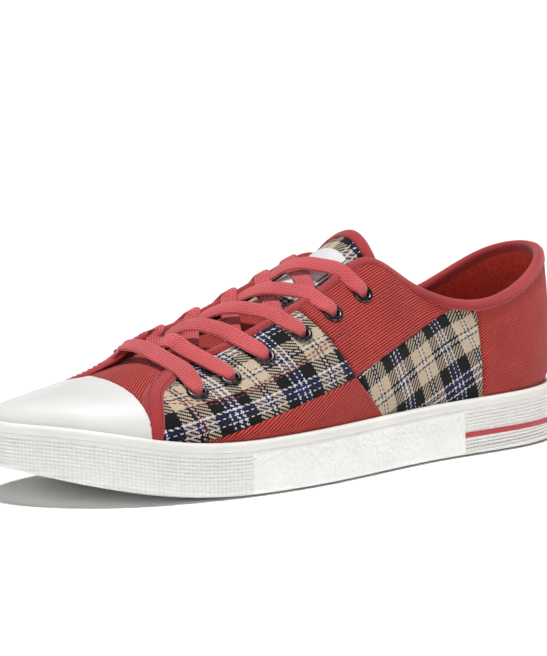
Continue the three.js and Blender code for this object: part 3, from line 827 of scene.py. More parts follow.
# the vamp's ribs lie on the bias, so its map is turned in plan
VAMP_ANGLE = -38.0
shell_maps = turned(shell_grid[..., 1], shell_grid[..., 0], VAMP_ANGLE)
flat = shell_grid.reshape(-1, 3)
shell_faces = [face[::-1] for face in grid_faces(SHELL_COLUMNS, len(shell_shares), close_rows=True)]
upper = add_object("upper_shell", flat, punch(flat, shell_faces), RED_CANVAS, shell_maps)
upper.data.materials.append(LINING)
thick = dict(thickness=SHELL_THICKNESS * MM, offset=-1, material_offset=1, material_offset_rim=1)
finish_mesh(upper, 0.02, [("SOLIDIFY", thick)], outward=False)
tidy_piece(upper, "red_canvas", "upper")

# %% [markdown]
# ## The quarter panels
# The sides are patchwork: five panels on each side, sewn edge to edge and laid over the shell. A fine
# sheet is laid on the wall and cut by planes that stand on the seam lines, so the edges of the panels
# are exact. Each panel then becomes its own thin solid, a little padded in the middle and pulled down
# at its seams, which gives the soft trough that sewn canvas shows.

# %% Outline and seams of the quarter
FRONT_EDGE = np.array([  # share, station of the quarter's front edge
    (-0.12, 2.3), (0.0, 2.31), (0.19, 2.35), (0.45, 2.42),
    (0.6, 2.56), (0.71, 2.82), (0.86, 3.3), (1.0, 3.9),
])
JOINT = (-1.3, 41.6)
SEAMS = {  # two points of each seam, along and height
    "low_front": ((-80.9, 23.8), JOINT),
    "mid_front": (JOINT, (-15.7, 69.1)),
    "low_rear": (JOINT, (14.5, 23.8)),
    "high_rear": (JOINT, (59.1, 62.4)),
    "heel": ((78.4, 66.0), (78.9, 24.0)),
}
PANELS = {  # finish, slot, direction of the cloth in degrees, lift in mm
    "front_plaid": (FRONT_PLAID, "plaid_canvas", 12.0, 0.95),
    "side_red": (RED_CANVAS, "red_canvas", 18.5, 1.2),
    "low_red": (RED_CANVAS, "red_canvas", 31.0, 1.15),
    "rear_plaid": (REAR_PLAID, "plaid_canvas", 22.0, 0.9),
    "heel_red": (RED_CANVAS, "red_canvas", 33.0, 1.2),
}


def front_station(share):
    """Station of the quarter's curved front edge at a height on the wall."""
    curve = open_curve(FRONT_EDGE[:, 1:], 12)[:, 0]
    rows = open_curve(FRONT_EDGE[:, :1], 12)[:, 0]
    return np.interp(share, rows, curve)


def open_curve(points, steps):
    """A smooth curve through points, with a number of steps between each two."""
    points = np.asarray(points, float)
    before = 2 * points[0] - points[4:0:-1]
    after = 2 * points[-1] - points[-2:-6:-1]
    control = closed_curve(np.concatenate([before, points, after]))
    spans = len(points) - 1
    return on_curve(control, len(before) + np.linspace(0, spans, spans * steps + 1))


def seam_side(seam, along, height):
    """Signed distance from a seam line, positive on its left."""
    (y0, z0), (y1, z1) = SEAMS[seam]
    length = math.hypot(y1 - y0, z1 - z0)
    return ((y1 - y0) * (height - z0) - (z1 - z0) * (along - y0)) / length


def panel_at(along, height):
    """Name of the panel that a point of the side lies in."""
    if seam_side("heel", along, height) > 0:
        return "heel_red"
    if seam_side("high_rear", along, height) > 0 and seam_side("mid_front", along, height) < 0:
        return "side_red"
    if seam_side("low_rear", along, height) > 0 and seam_side("high_rear", along, height) <= 0:
        return "rear_plaid"
    return "front_plaid" if seam_side("low_front", along, height) > 0 else "low_red"


def seam_distance(along, height):
    """Distance in millimetres from the nearest seam."""
    nearest = np.full(np.shape(along), 1e3)
    for (y0, z0), (y1, z1) in SEAMS.values():
        run, rise = y1 - y0, z1 - z0
        part = np.clip(((along - y0) * run + (height - z0) * rise) / (run**2 + rise**2), 0, 1)
        nearest = np.minimum(nearest, np.hypot(along - y0 - part * run, height - z0 - part * rise))
    return nearest


def cloth_wave(along, across):
    """Slow unevenness of stretched canvas, in millimetres."""
    size = 0.12
    bends = np.sin(along / 9.0 + np.sin(across / 7.0))
    return size * (bends + np.sin(across / 5.0 + along / 14.0) * 0.7)


# %% Creases
CREASES = [  # along, across, direction in degrees, length, width, depth: soft folds of worn-in canvas
    (-66.0, 18.0, 70.0, 16.0, 3.0, -0.5),
    (-52.0, 30.0, 40.0, 18.0, 3.5, 0.45),
    (96.0, 40.0, 28.0, 26.0, 5.0, -0.5),
    (104.0, 52.0, 20.0, 26.0, 5.0, 0.4),
    (92.0, 30.0, 40.0, 18.0, 4.0, -0.35),
    (30.0, 62.0, 62.0, 16.0, 4.0, 0.35),
]


def crease_lift(along, height):
    """Height that the soft folds add."""
    lift = np.zeros(np.shape(along))
    for y, z, degrees, length, width, depth in CREASES:
        local = turned(along - y, height - z, degrees)
        lift += depth * np.exp(-((local[..., 0] / length) ** 2) - (local[..., 1] / width) ** 2)
    return lift


FLARE, FLARE_REACH = 3.9, 10.0
STATION_LENGTH = 28  # millimetres of one station on the forefoot


def inner_flare(station, share):
    """How far the inner quarter's loose front edge stands off the vamp, in millimetres."""
    station, share = np.asarray(station, float), np.asarray(share, float)
    behind = (AROUND - station - front_station(share)) * STATION_LENGTH
    rising = np.clip((share - 0.6) / 0.28, 0, 1)
    lift = FLARE * np.exp(-((behind / FLARE_REACH) ** 2)) * rising**2 * (3 - 2 * rising)
    return np.where(station > HEEL_STATION, lift, 0)


# %% Cut and pad the panels
SHEET_COLUMNS = 300
SEAM_HEIGHT, TUCKED_HEIGHT, UNDERSIDE = 0.3, 0.18, 0.06
SEAM_ROUND, SEAM_PAD = 1.5, 6  # within these distances a panel's edge is round, and its padding grows


def quarter_sheet(side):
    """A fine sheet over one side, cut on the seams, as points, stations and faces by panel."""
    shares = np.r_[-0.12, np.linspace(0, 1, 53)]
    part = np.linspace(0, 1, SHEET_COLUMNS)
    stations = front_station(shares)[None] * (1 - part)[:, None] + HEEL_STATION * part[:, None]
    rows = np.broadcast_to(shares[None], stations.shape)
    real = stations if side == "lateral" else AROUND - stations
    points = wall(real, rows)
    work = bmesh.new()
    keep = work.verts.layers.float_vector.new("place")
    verts = []
    for point, station, share in zip(points.reshape(-1, 3), real.ravel(), rows.ravel()):
        vert = work.verts.new(point)
        vert[keep] = (station, share, 0)
        verts.append(vert)
    flip = -1 if side == "lateral" else 1
    faces = [face[::flip] for face in grid_faces(SHEET_COLUMNS, len(shares))]
    for face in punch(points.reshape(-1, 3), faces):
        work.faces.new([verts[i] for i in face])
    for (y0, z0), (y1, z1) in SEAMS.values():
        normal = (0, -(z1 - z0), y1 - y0)
        every = work.verts[:] + work.edges[:] + work.faces[:]
        bmesh.ops.bisect_plane(work, geom=every, plane_co=(0, y0, z0), plane_no=normal, dist=0.02)
    groups = {name: [] for name in PANELS}
    work.verts.index_update()
    for face in work.faces:
        middle = face.calc_center_median()
        groups[panel_at(middle.y, middle.z)].append([v.index for v in face.verts])
    places = np.array([v[keep][:2] for v in work.verts])
    cuts = np.array([v.co[:] for v in work.verts])
    work.free()
    return cuts, places, groups


def solid_from(name, faces, inner, outer, material, maps):
    """A closed thin solid from one set of faces and its two sides."""
    used, local = np.unique(np.concatenate([np.array(f) for f in faces]), return_inverse=True)
    ends = np.cumsum([len(f) for f in faces])
    parts = np.split(local, ends[:-1])
    count = len(used)
    edges = {}
    for face in parts:
        for a, b in zip(face, np.roll(face, -1)):
            edges[(a, b)] = edges.get((a, b), 0) + 1
    rim = [(a, b) for a, b in edges if (b, a) not in edges]
    all_faces = [list(f) for f in parts]
    all_faces += [[i + count for i in f[::-1]] for f in parts]
    all_faces += [[b, a, a + count, b + count] for a, b in rim]
    points = np.concatenate([outer[used], inner[used]])
    return add_object(name, points, all_faces, material, np.concatenate([maps[used], maps[used]]))


for side in ("lateral", "medial"):
    cuts, places, groups = quarter_sheet(side)
    base = wall(places[:, 0], places[:, 1])
    normals = facing(places[:, 0], places[:, 1])
    along, across = real_lengths(places[:, 0], places[:, 1])
    away = seam_distance(cuts[:, 1], cuts[:, 2])
    rounding = np.sqrt(1 - (1 - np.clip(away / SEAM_ROUND, 0, 1)) ** 2)
    tucked = np.clip(places[:, 1] / 0.06, 0, 1)
    softness = cloth_wave(along, across) + crease_lift(along, across)
    for name, (material, slot, degrees, lift) in PANELS.items():
        padding = lift - SEAM_HEIGHT + softness * np.clip(away / SEAM_PAD, 0, 1)
        height = SEAM_HEIGHT + padding * rounding
        height = TUCKED_HEIGHT + (height - TUCKED_HEIGHT) * tucked
        flare = inner_flare(places[:, 0], places[:, 1])
        outer = base + normals * (height + flare)[:, None]
        inner = base + normals * (UNDERSIDE + flare)[:, None]
        maps = turned(along, across, degrees)
        panel = solid_from(f"quarter_{side}_{name}", groups[name], inner, outer, material, maps)
        tidy_piece(panel, slot)
    if side == "medial":
        loose = [f for f in groups["front_plaid"] if flare[f].max() > 0.25]
        stand_off = np.maximum(flare - 0.5, 0.02)[:, None]
        under = base + normals * stand_off
        top = base + normals * (stand_off + 0.3)
        lining = solid_from("loose_edge_lining", loose, under, top, LINING, maps)
        tidy_piece(lining, "red_lining")

# %% [markdown]
# ## Bindings
# A folded tape covers every raw edge of the quarters. One long strip runs from the rubber band up the
# curved front edge, along the throat, round the ankle and back down the other side. It is a closed
# section swept along that line: at the throat and collar it wraps the whole edge, and at the front it
# lies flat on the vamp.

# %% Edge binding
TAPE = np.array([  # across the edge (positive beyond it) and outward, in millimetres
    (-3.9, 0.7), (-3.75, 1.45), (-3.2, 1.75), (-1.8, 1.95), (-0.4, 1.85), (0.5, 1.2), (0.95, 0.2),
    (1.05, -0.9), (0.8, -2.0), (0.1, -2.75), (-1.2, -2.95), (-3.0, -2.85), (-3.8, -2.5), (-3.9, -1.9),
])
front_shares = np.linspace(-0.1, 0.97, 60)
front_stations = front_station(front_shares)
edge_stations = np.linspace(front_station(1.0), HEEL_STATION, 230)
path_stations = np.r_[front_stations, edge_stations]
path_shares = np.r_[front_shares, np.ones(len(edge_stations))]
on_front = np.clip((0.93 - path_shares) / 0.12, 0, 1)
path_stations = np.r_[path_stations, AROUND - path_stations[-2::-1]]
path_shares = np.r_[path_shares, path_shares[-2::-1]]
on_front = np.r_[on_front, on_front[-2::-1]]
tape_path = wall(path_stations, path_shares)
tape_normals = facing(path_stations, np.minimum(path_shares, 0.985))
tape_path = tape_path + tape_normals * inner_flare(path_stations, path_shares)[:, None]
tape_sections = np.repeat(TAPE[None], len(tape_path), 0)
# on the flat front stretch the tape is wider, and thin underneath
heights = tape_sections[..., 1]
tape_sections[..., 1] = np.where(heights < 0, heights * (1 - 0.9 * on_front[:, None]), heights)
tape_sections[..., 0] *= 1 + 0.65 * on_front[:, None]
# both ends get thin where they go behind the band
low_end = np.clip((path_shares + 0.1) / 0.12, 0, 1)
tape_sections[..., 1] = np.minimum(tape_sections[..., 1], 0.25 + 2 * low_end[:, None])
binding = sweep("edge_binding", tape_path, tape_normals, tape_sections, BINDING, side=-1.0)
tidy_piece(binding, "red_binding")

# %% Heel strip
STRIP_HALF = 6.0
STRIP = [  # share of the half width, and height
    (-1, 0.9), (-0.97, 1.6), (-0.85, 1.95), (-0.4, 2.2), (0, 2.25),
    (0.4, 2.2), (0.85, 1.95), (0.97, 1.6), (1, 0.9),
]
strip_shares = np.linspace(-0.1, 0.96, 50)
strip_stations = np.full(len(strip_shares), float(HEEL_STATION))
strip_path = wall(strip_stations, strip_shares)
strip_normals = facing(strip_stations, strip_shares)
strip_section = [(a * STRIP_HALF, b) for a, b in STRIP] + [(4.0, 0.6), (-4.0, 0.6)]
strip_sections = np.repeat(np.array(strip_section)[None], len(strip_shares), 0)
strip_sections[..., 0] *= (0.8 + 0.2 * (1 - strip_shares))[:, None]
low_end = np.clip((strip_shares + 0.1) / 0.14, 0, 1)
strip_sections[..., 1] *= (0.12 + 0.88 * low_end)[:, None]
heel_strip = sweep("heel_strip", strip_path, strip_normals, strip_sections, BINDING)
tidy_piece(heel_strip, "red_binding")

# %% [markdown]
# ## Rubber parts
# The toe cap is a smooth moulded shell over the front of the vamp. Its rear edge is a shallow arc,
# which is cut straight after bending the mesh by the same amount, then bent back. The band round the
# foot is one ring with a lip below, a textured face, a fine groove and a plain strip on top.

# %% Toe cap
CAP_REAR, CAP_SWEEP, CAP_MIDDLE, CAP_HALF = -102.7, 1.8, -5.0, 43.0
CAP_OUTER, CAP_THICKNESS = 1.95, 1.6
SMOOTH_ABOVE = 34.0
RIDGE_TIP, TIP_REACH = (-8.0, -122.0, 40.5), 9.0  # the wall's rows meet here, so it is smoothed more
cap_stations = np.linspace(-3.8, 3.8, 191)
cap_shares = np.linspace(0, 1, 61)
cap_grid = wall(cap_stations[:, None] % AROUND, cap_shares[None])
cap_faces = [face[::-1] for face in grid_faces(len(cap_stations), len(cap_shares))]
cap = add_object("toe_cap", cap_grid, cap_faces, CAP_RUBBER)
work = bmesh.new()
work.from_mesh(cap.data)
bmesh.ops.remove_doubles(work, verts=work.verts, dist=0.02 * MM)
free_edge = {vert for edge in work.edges if edge.is_boundary for vert in edge.verts}
inside = [vert for vert in work.verts if vert not in free_edge and vert.co.z > SMOOTH_ABOVE * MM]


def smooth(verts, times):
    """Evens out some of the cap's points a number of times."""
    for _ in range(times):
        bmesh.ops.smooth_vert(
            work, verts=verts, factor=0.5, use_axis_x=True, use_axis_y=True, use_axis_z=True
        )


def near_tip(verts, reach):
    """The points within a distance of the ridge's tip."""
    return [vert for vert in verts if (vert.co / MM - Vector(RIDGE_TIP)).length < reach]


smooth(inside, 14)
bmesh.ops.remove_doubles(work, verts=near_tip(inside, TIP_REACH / 3), dist=0.5 * MM)
inside = [vert for vert in inside if vert.is_valid]
smooth(near_tip(inside, TIP_REACH), 30)
work.normal_update()
moved = [vert.normal * CAP_OUTER * MM for vert in work.verts]
for vert, shift in zip(work.verts, moved):
    vert.co += shift


def cap_bend(vert):
    """How far the cap's rear edge lies ahead of its middle at this place."""
    return CAP_SWEEP * MM * ((vert.co.x / MM - CAP_MIDDLE) / CAP_HALF) ** 2


for vert in work.verts:
    vert.co.y += cap_bend(vert)
every = work.verts[:] + work.edges[:] + work.faces[:]
cut = dict(plane_co=(0, CAP_REAR * MM, 0), plane_no=(0, 1, 0))
bmesh.ops.bisect_plane(work, geom=every, dist=0.2 * MM, clear_outer=True, **cut)
for vert in work.verts:
    vert.co.y -= cap_bend(vert)
work.to_mesh(cap.data)
work.free()
cap_modifiers = [
    ("SOLIDIFY", dict(thickness=CAP_THICKNESS * MM, offset=-1)),
    ("BEVEL", dict(width=0.55 * MM, segments=3, limit_method="ANGLE", angle_limit=math.radians(50))),
]
finish_mesh(cap, 0, cap_modifiers, outward=False)
tidy_piece(cap, "white_rubber", "toe_cap")


# %% Foxing band
def band_section(height):
    """Inset and height of the band's section, from the inner foot round the outside and back."""
    low = [(4.2, 0), (2.6, 0), (1.2, 0), (0.5, 0.3), (0.12, 0.9), (0, 1.6), (0.05, 2.2), (0.3, 2.6)]
    face = [(0.3, height * part + (1 - part) * 2.6) for part in (0.2, 0.4, 0.6)]
    high = [(0.3, height - 5.2), (0.16, height - 4.9), (0.14, height - 4.0), (0.3, height - 3.8)]
    high += [(0.34, height - 3.65), (0.28, height - 3.5)]
    top = [(0.12, height - 3.3), (0.06, height - 2.2), (0.12, height - 1.0), (0.4, height - 0.4)]
    ledge = [(1.0, height - 0.15), (1.8, height), (3.0, height), (4.2, height), (4.2, height / 2)]
    return np.array(low + face + high + top + ledge)


band_stations = np.linspace(0, AROUND, 720, endpoint=False)
band_edge = sole_edge(band_stations)[0]
band_low = ground(band_edge[:, 1]) + FOXING_LIFT
band_high = foxing_top(band_edge[:, 1])
sections = np.array([band_section(h) for h in band_high - band_low])
plan, outward = sole_edge(band_stations[:, None].repeat(sections.shape[1], 1), sections[..., 0])
band_grid = np.concatenate([plan, (band_low[:, None] + sections[..., 1])[..., None]], -1)
below_top = (band_high - band_low)[:, None] - sections[..., 1]
band_maps = np.stack(np.broadcast_arrays(path_length(band_edge)[:, None], below_top), -1)
band_faces = grid_faces(len(band_stations), sections.shape[1], True, True)
foxing = add_object("foxing", band_grid, band_faces, FOXING_RUBBER, band_maps)
finish_mesh(foxing)
tidy_piece(foxing, "white_rubber", "foxing")

# %% Red heel stripe
STRIPE_FROM, STRIPE_LOW, STRIPE_HIGH = 8.17, 8.5, 10.8
stripe_stations = np.linspace(STRIPE_FROM, AROUND - STRIPE_FROM, 220)
stripe_plan, stripe_out = sole_edge(stripe_stations)
level = np.ones(len(stripe_stations))
stripe_path = np.c_[stripe_plan, level * (STRIPE_LOW + STRIPE_HIGH) / 2]
stripe_normals = np.c_[stripe_out, level * 0]
half = (STRIPE_HIGH - STRIPE_LOW) / 2
STRIPE = [(-1, -0.5), (-1, 0), (-0.8, 0.22), (0, 0.28), (0.8, 0.22), (1, 0), (1, -0.5)]
stripe_section = [(a * half, b) for a, b in STRIPE]
stripe = sweep("heel_stripe", stripe_path, stripe_normals, stripe_section, RED_RUBBER)
tidy_piece(stripe, "red_rubber")
# %% [markdown]
# ## The tongue
# The tongue is a padded strip of ribbed canvas that starts under the laces and curls up to the ankle.
# Its top is covered with check cloth, bound all round with red tape, and carries a bare ribbon label.
# It is a closed sheet over nine cross sections, thin at its edges and full in the middle.

# %% Tongue form
TONGUE_ROWS = np.array([  # along, crown height, half width, drop at the side
    (-86, 44.8, 13, 2.5), (-72, 48.6, 16, 3.5), (-60, 52.6, 22, 6), (-40, 61.5, 25, 8), (-18, 71, 25, 11),
    (4, 82, 24, 15.5), (20, 90.5, 23, 19), (34, 99.5, 21, 20.5),
], float)
TONGUE_THICKNESS = 2.4
TONGUE_HALF, TONGUE_LENGTH = 22, 125  # rough sizes, for how far a place is from the tongue's edge
CHECK_FROM = 0.57
tongue_spine = open_curve(TONGUE_ROWS, 40)


def tongue_point(place, share, lift=0.0):
    """A point of the tongue's upper face: place 0 at the toe end to 1 at the top, share across."""
    place, share = np.broadcast_arrays(np.asarray(place, float), np.asarray(share, float))
    column = np.clip(place, 0, 1) * (len(tongue_spine) - 1)
    marks = np.arange(len(tongue_spine))
    along, crown, half, drop = (np.interp(column, marks, line) for line in tongue_spine.T)
    # near its top the inner half lies flatter
    flatter = np.where(share < 0, 1 - 0.42 * np.clip((place - 0.55) / 0.3, 0, 1), 1)
    height = crown - drop * flatter * share**2 + lift
    return np.stack([centre_across(along) + share * half, along, height], -1)


def tongue_facing(place, share):
    """The upward direction of the tongue's face."""
    place, share = np.broadcast_arrays(np.asarray(place, float), np.asarray(share, float))
    inner = np.clip(place, 0.01, 0.99)
    forward = tongue_point(inner + 0.005, share) - tongue_point(inner - 0.005, share)
    sideways = tongue_point(inner, share + 0.01) - tongue_point(inner, share - 0.01)
    return unit(np.cross(sideways, forward))


places = np.linspace(0, 1, 181)
shares = np.sin(np.linspace(-1, 1, 61) * math.pi / 2)
face_points = tongue_point(places[:, None], shares[None])
face_up = tongue_facing(places[:, None], shares[None])
edge_gap = np.minimum((1 - np.abs(shares))[None] * TONGUE_HALF, (1 - places)[:, None] * TONGUE_LENGTH)
edge_round = np.sqrt(1 - (1 - np.clip(edge_gap / 1.6, 0, 1)) ** 2)
half_thick = TONGUE_THICKNESS / 2 * edge_round + 0.05
middle = face_points - face_up * TONGUE_THICKNESS / 2
tongue_length = path_length(face_points[:, len(shares) // 2])
tongue_maps = np.stack(np.broadcast_arrays(tongue_length[:, None], shares[None] * 24), -1)
ribs_turned = turned(tongue_maps[..., 0], tongue_maps[..., 1], 90.0)
top_face = (middle + face_up * half_thick[..., None]).reshape(-1, 3)
low_face = (middle - face_up * half_thick[..., None]).reshape(-1, 3)
groups = {"tongue_check": [], "tongue_ribbed": []}
for face in [face[::-1] for face in grid_faces(len(places), len(shares))]:
    row = face[0] // len(shares)
    groups["tongue_check" if places[row] > CHECK_FROM else "tongue_ribbed"].append(face)
for name, material, maps, *names in (
    ("tongue_check", TONGUE_PLAID, tongue_maps, "plaid_canvas", "tongue"),
    ("tongue_ribbed", RED_CANVAS, ribs_turned, "red_canvas"),
):
    piece = solid_from(name, groups[name], low_face, top_face, material, maps.reshape(-1, 2))
    finish_mesh(piece)
    tidy_piece(piece, *names)

# %% Tongue binding and label
rim_places = np.r_[np.linspace(0.5, 0.965, 60), np.linspace(0.975, 1, 8), np.full(60, 1.0)]
rim_shares = np.r_[np.full(60, 1.0), np.linspace(0.995, 0.93, 8), np.linspace(0.91, 0, 60)]
rim_places = np.r_[rim_places, rim_places[-2::-1]]
rim_shares = np.r_[rim_shares, -rim_shares[-2::-1]]
rim_normals = tongue_facing(rim_places, rim_shares)
rim_path = tongue_point(rim_places, rim_shares) - rim_normals * TONGUE_THICKNESS / 2
RIM = [  # across the edge and outward
    (-4.8, 1.0), (-4.6, 1.75), (-3.5, 2.05), (-1.5, 2.0), (0.2, 1.4), (0.9, 0.3),
    (0.9, -0.6), (0.2, -1.5), (-1.6, -2.0), (-4.6, -1.7), (-4.8, -1.0),
]
rim = sweep("tongue_binding", rim_path, rim_normals, RIM, BINDING)
tidy_piece(rim, "red_binding")

LABEL_PLACES = np.linspace(0.655, 0.88, 40)
LABEL_HALF = 12.3
label_across = np.linspace(-1, 1, 41)
label_shares = label_across * LABEL_HALF / 23.5
label_base = tongue_point(LABEL_PLACES[:, None], label_shares[None])
label_up = tongue_facing(LABEL_PLACES[:, None], label_shares[None])
label_grid = np.broadcast_arrays(label_across[None] * LABEL_HALF, (LABEL_PLACES * 140)[:, None])
label_maps = np.stack(label_grid, -1).reshape(-1, 2)
label_faces = [face[::-1] for face in grid_faces(len(LABEL_PLACES), len(label_across))]
label_under = (label_base - label_up * 0.1).reshape(-1, 3)
label_top = (label_base + label_up * 0.55).reshape(-1, 3)
label = solid_from("label_patch", label_faces, label_under, label_top, LABEL, label_maps)
finish_mesh(label)
tidy_piece(label, "white_label")

# %% [markdown]
# ## Eyelets
# Each eyelet is a stamped ring: a rounded flange outside, a short barrel through both layers of cloth,
# and a smaller rim inside. One section is turned round the axis of each eyelet.

# %% Eyelet rings
RING = np.array([  # radius and height along the axis, outside positive
    (2.35, 0.55), (2.5, 1.2), (2.9, 1.75), (3.5, 1.95), (4.1, 1.8), (4.55, 1.4), (4.6, 1.0),
    (4.2, 0.9), (2.95, 0.85), (2.9, -2.4), (3.7, -2.6), (3.6, -2.95), (2.6, -2.9), (2.3, -2.4),
])
EYELET_LIFT, EYELET_SIDES = 0.35, 48
turns = np.linspace(0, 2 * math.pi, EYELET_SIDES, endpoint=False)
for side, stations in (("lateral", LATERAL_EYELETS), ("medial", MEDIAL_EYELETS)):
    axes = facing(stations, EYELET_SHARE)
    for number, (centre, axis) in enumerate(zip(EYELET_CENTRES[side], axes), 1):
        first = unit(np.cross(axis, (0, 0, 1.0)))
        second = np.cross(axis, first)
        spokes = np.cos(turns)[:, None] * first + np.sin(turns)[:, None] * second
        points = centre + spokes[:, None] * RING[None, :, :1] + axis * (RING[None, :, 1:] + EYELET_LIFT)
        name = f"eyelet_{side}_{number}"
        ring_faces = grid_faces(EYELET_SIDES, len(RING), True, True)
        ring_piece = add_object(name + "_ring", points, ring_faces, GUNMETAL)
        finish_mesh(ring_piece)
        tidy_piece(ring_piece, "eyelet_metal", name)

# %% [markdown]
# ## The lace
# One flat lace runs through all twelve eyelets. It lies straight across the lowest pair, then each
# run comes out from under one edge of the throat, crosses the tongue towards the ankle, and goes down
# through the next eyelet on the other side. The runs that end on the outer side lie on top. Both ends
# are tucked inside the shoe at the top eyelets.

# %% Lace route
LACE_WIDTH, LACE_THICKNESS = 7.8, 1.5


def side_station(side, number):
    """Station of an eyelet, counted 1 at the ankle to 6 at the toe."""
    return (LATERAL_EYELETS if side == "lateral" else MEDIAL_EYELETS)[number - 1]


def tongue_height(x, y):
    """Height of the tongue's face under a point."""
    along, crown, half, drop = tongue_spine.T
    share = (x - centre_across(y)) / np.interp(y, along, half)
    return np.interp(y, along, crown) - np.interp(y, along, drop) * min(share**2, 1.0)


INSIDE = 4.2  # how far under the cloth's face the lace runs where it is hidden
THROUGH = 2.6  # it bends into and out of an eyelet this far from the cloth
OVER_TONGUE = 1.6  # its middle stays this far above the tongue
SHORTEST_CROSSING = 12  # the far throat edge lies at least this far across from a run's start
OVER_EDGE = (1.9, 2.1, 2.6, 4.0, 4.8)  # how high a run passes over the throat edge before eyelets 1 to 5
CREST = (4.2, 3.6, 4.4, 6.9, 7.8)  # and how high it arches over that edge's level
FAR_LIFT = (0.6, 2.2, 2.6, 2.4, 3.2)  # the runs stand a little higher over the inner edge
FAR_SHIFT = (1, 5, 8, 12, 13)  # and lean towards the heel there
INSTEP = np.array([0, -0.65, 0.76])
FAR_INSTEP = np.array([0, -0.38, 0.92])


def down_into(target, out, slope, before):
    """The lace's bend into an eyelet, from a distance before it to the inside."""
    return [
        (target + out * THROUGH - slope * before, out + slope * 0.3),
        (target + out * 0.7 + slope * 0.2, out * 0.2 + slope),
        (target - out * THROUGH, slope),
    ]


def run_points(start_side, start, end_side, end):
    """Points and facings of one run, from under one throat edge to the eyelet opposite."""
    outer = end_side == "lateral"
    sign = 1 if outer else -1
    lean = INSTEP if outer else FAR_INSTEP
    aside = 0 if outer else FAR_SHIFT[end - 1]
    begin = top_line(side_station(start_side, start))
    away = facing(side_station(start_side, start), 0.97)
    finish = side_station(end_side, end)
    share = EYELETS[end - 1][1]
    target = wall(finish, share)
    out = facing(finish, share)
    near_by = top_line(finish + np.linspace(-1.3, 0.5, 60) * sign)
    near_by = near_by[(near_by[:, 0] - begin[0]) * sign > SHORTEST_CROSSING]
    chord = unit((target - begin)[:2])
    off_line = np.abs((near_by - begin)[:, 0] * chord[1] - (near_by - begin)[:, 1] * chord[0])
    lip = near_by[off_line.argmin()]
    lip_share = (lip[0] - begin[0]) / (target[0] - begin[0])
    inwards = min(1.0, lip_share / 0.75)
    lip_top = lip[2] + OVER_EDGE[end - 1] + (0 if outer else FAR_LIFT[end - 1])
    crest = lip[2] + CREST[end - 1]
    base = begin[2] - 2.5
    if outer:
        heights = {0.02: base, 0.2: base + 0.66 * (crest - base), 0.42: crest}
        heights[0.6] = crest - 0.25 * (crest - lip_top)
    else:
        heights = {part: base + (lip_top - base) * part for part in (0.02, 0.3, 0.62)}
        heights = {part: z + 2.2 * math.sin(math.pi * part) for part, z in heights.items()}
    route = [(begin - away * INSIDE - np.array([sign * 3.0, 0, 0.5]), lean)]
    for part, z in heights.items():
        part *= inwards
        x = begin[0] + (target[0] - begin[0]) * part
        y = begin[1] + (target[1] - begin[1] + aside) * part
        z = max(z, tongue_height(x, y) + OVER_TONGUE) if part > 0.1 else z
        route.append((np.array([x, y, z]), lean + np.array([sign * 0.35 * (part - 0.5), 0, 0])))
    over_lip = np.array([lip[0], begin[1] + (target[1] - begin[1] + aside) * lip_share, lip_top])
    route.append((over_lip, lean + out * 0.35))
    slope = unit(target - over_lip)
    reach = np.linalg.norm(target - over_lip)
    route.append((over_lip + slope * 0.5 * reach + out * 1.6, out + lean * 0.6))
    return route + down_into(target, out, slope, 2.2)


def under_points(side, number):
    """The hidden stretch behind the quarter, from an eyelet back to the throat edge."""
    station, share = side_station(side, number), EYELETS[number - 1][1]
    between = (share + 1) / 2
    return [(wall(station, between) - facing(station, between) * 4.0, -facing(station, share))]


def facing_out(route, flip):
    """The same places; flip -1 turns the lace over."""
    return [(point, direction * flip) for point, direction in route]


def strand(first_side):
    """From the middle of the lowest bar through the eyelets up to the ankle."""
    sides = [first_side, "medial" if first_side == "lateral" else "lateral"]
    route = []
    for step, number in enumerate(range(5, 0, -1)):
        start_side, end_side = sides[step % 2], sides[(step + 1) % 2]
        flip = -1 if step % 2 == 0 else 1
        if step == 0:
            route += facing_out(under_points(start_side, 6), flip)
        route += facing_out(run_points(start_side, number + 1, end_side, number), flip)
        if number > 1:
            route += facing_out(under_points(end_side, number), flip)
    station = side_station(end_side, 1)
    under = facing(station, 0.9)
    return route + [(wall(station, 0.9) - under * INSIDE, -under * flip)]


def bar_end(side):
    """The end of the lowest bar, down into eyelet 6."""
    station, share = side_station(side, 6), EYELETS[5][1]
    target = wall(station, share)
    return down_into(target, facing(station, share), unit(target - wall(station, 0.75)), 2.0)


BAR = [  # across, along, height of the bar's middle, from the inner to the outer side
    (-22, -76.8, 52.8), (-17, -76.3, 56.6), (-6, -76, 56.9),
    (8, -76.5, 54.3), (20, -77.2, 51.6), (28, -77.8, 48.9),
]
bar = [(np.array(p, float), INSTEP + np.array([0.2 * p[0] / 20, 0.2, 0])) for p in BAR]
route = strand("medial")[::-1] + bar_end("medial")[::-1] + bar + bar_end("lateral") + strand("lateral")
controls = np.array([point for point, _ in route])
facings = np.array([unit(direction) for _, direction in route])
lace_path = open_curve(controls, 14)
lace_facing = open_curve(facings, 14)
near_hole = np.linalg.norm(lace_path[:, None] - all_centres[None], axis=-1).min(1)
pinch = np.clip((near_hole - 1.0) / 5.0, 0, 1)
width = 0.56 + 0.44 * pinch * (2 - pinch)
thick = 1.35 - 0.35 * pinch
LACE_SECTION = np.array([  # shares of half the width and half the thickness
    (-1, 0), (-0.94, 0.6), (-0.8, 0.9), (-0.4, 1), (0, 0.94), (0.4, 1), (0.8, 0.9), (0.94, 0.6),
    (1, 0), (0.94, -0.6), (0.8, -0.9), (0, -0.94), (-0.8, -0.9), (-0.94, -0.6),
])
section = LACE_SECTION * (LACE_WIDTH / 2, LACE_THICKNESS / 2)
lace = sweep("lace", lace_path, lace_facing, section, LACE, scale=np.c_[width, thick])
tidy_piece(lace, "red_lace", "lace")
print("lace between its hidden ends", round(path_length(lace_path)[-1]), "mm")

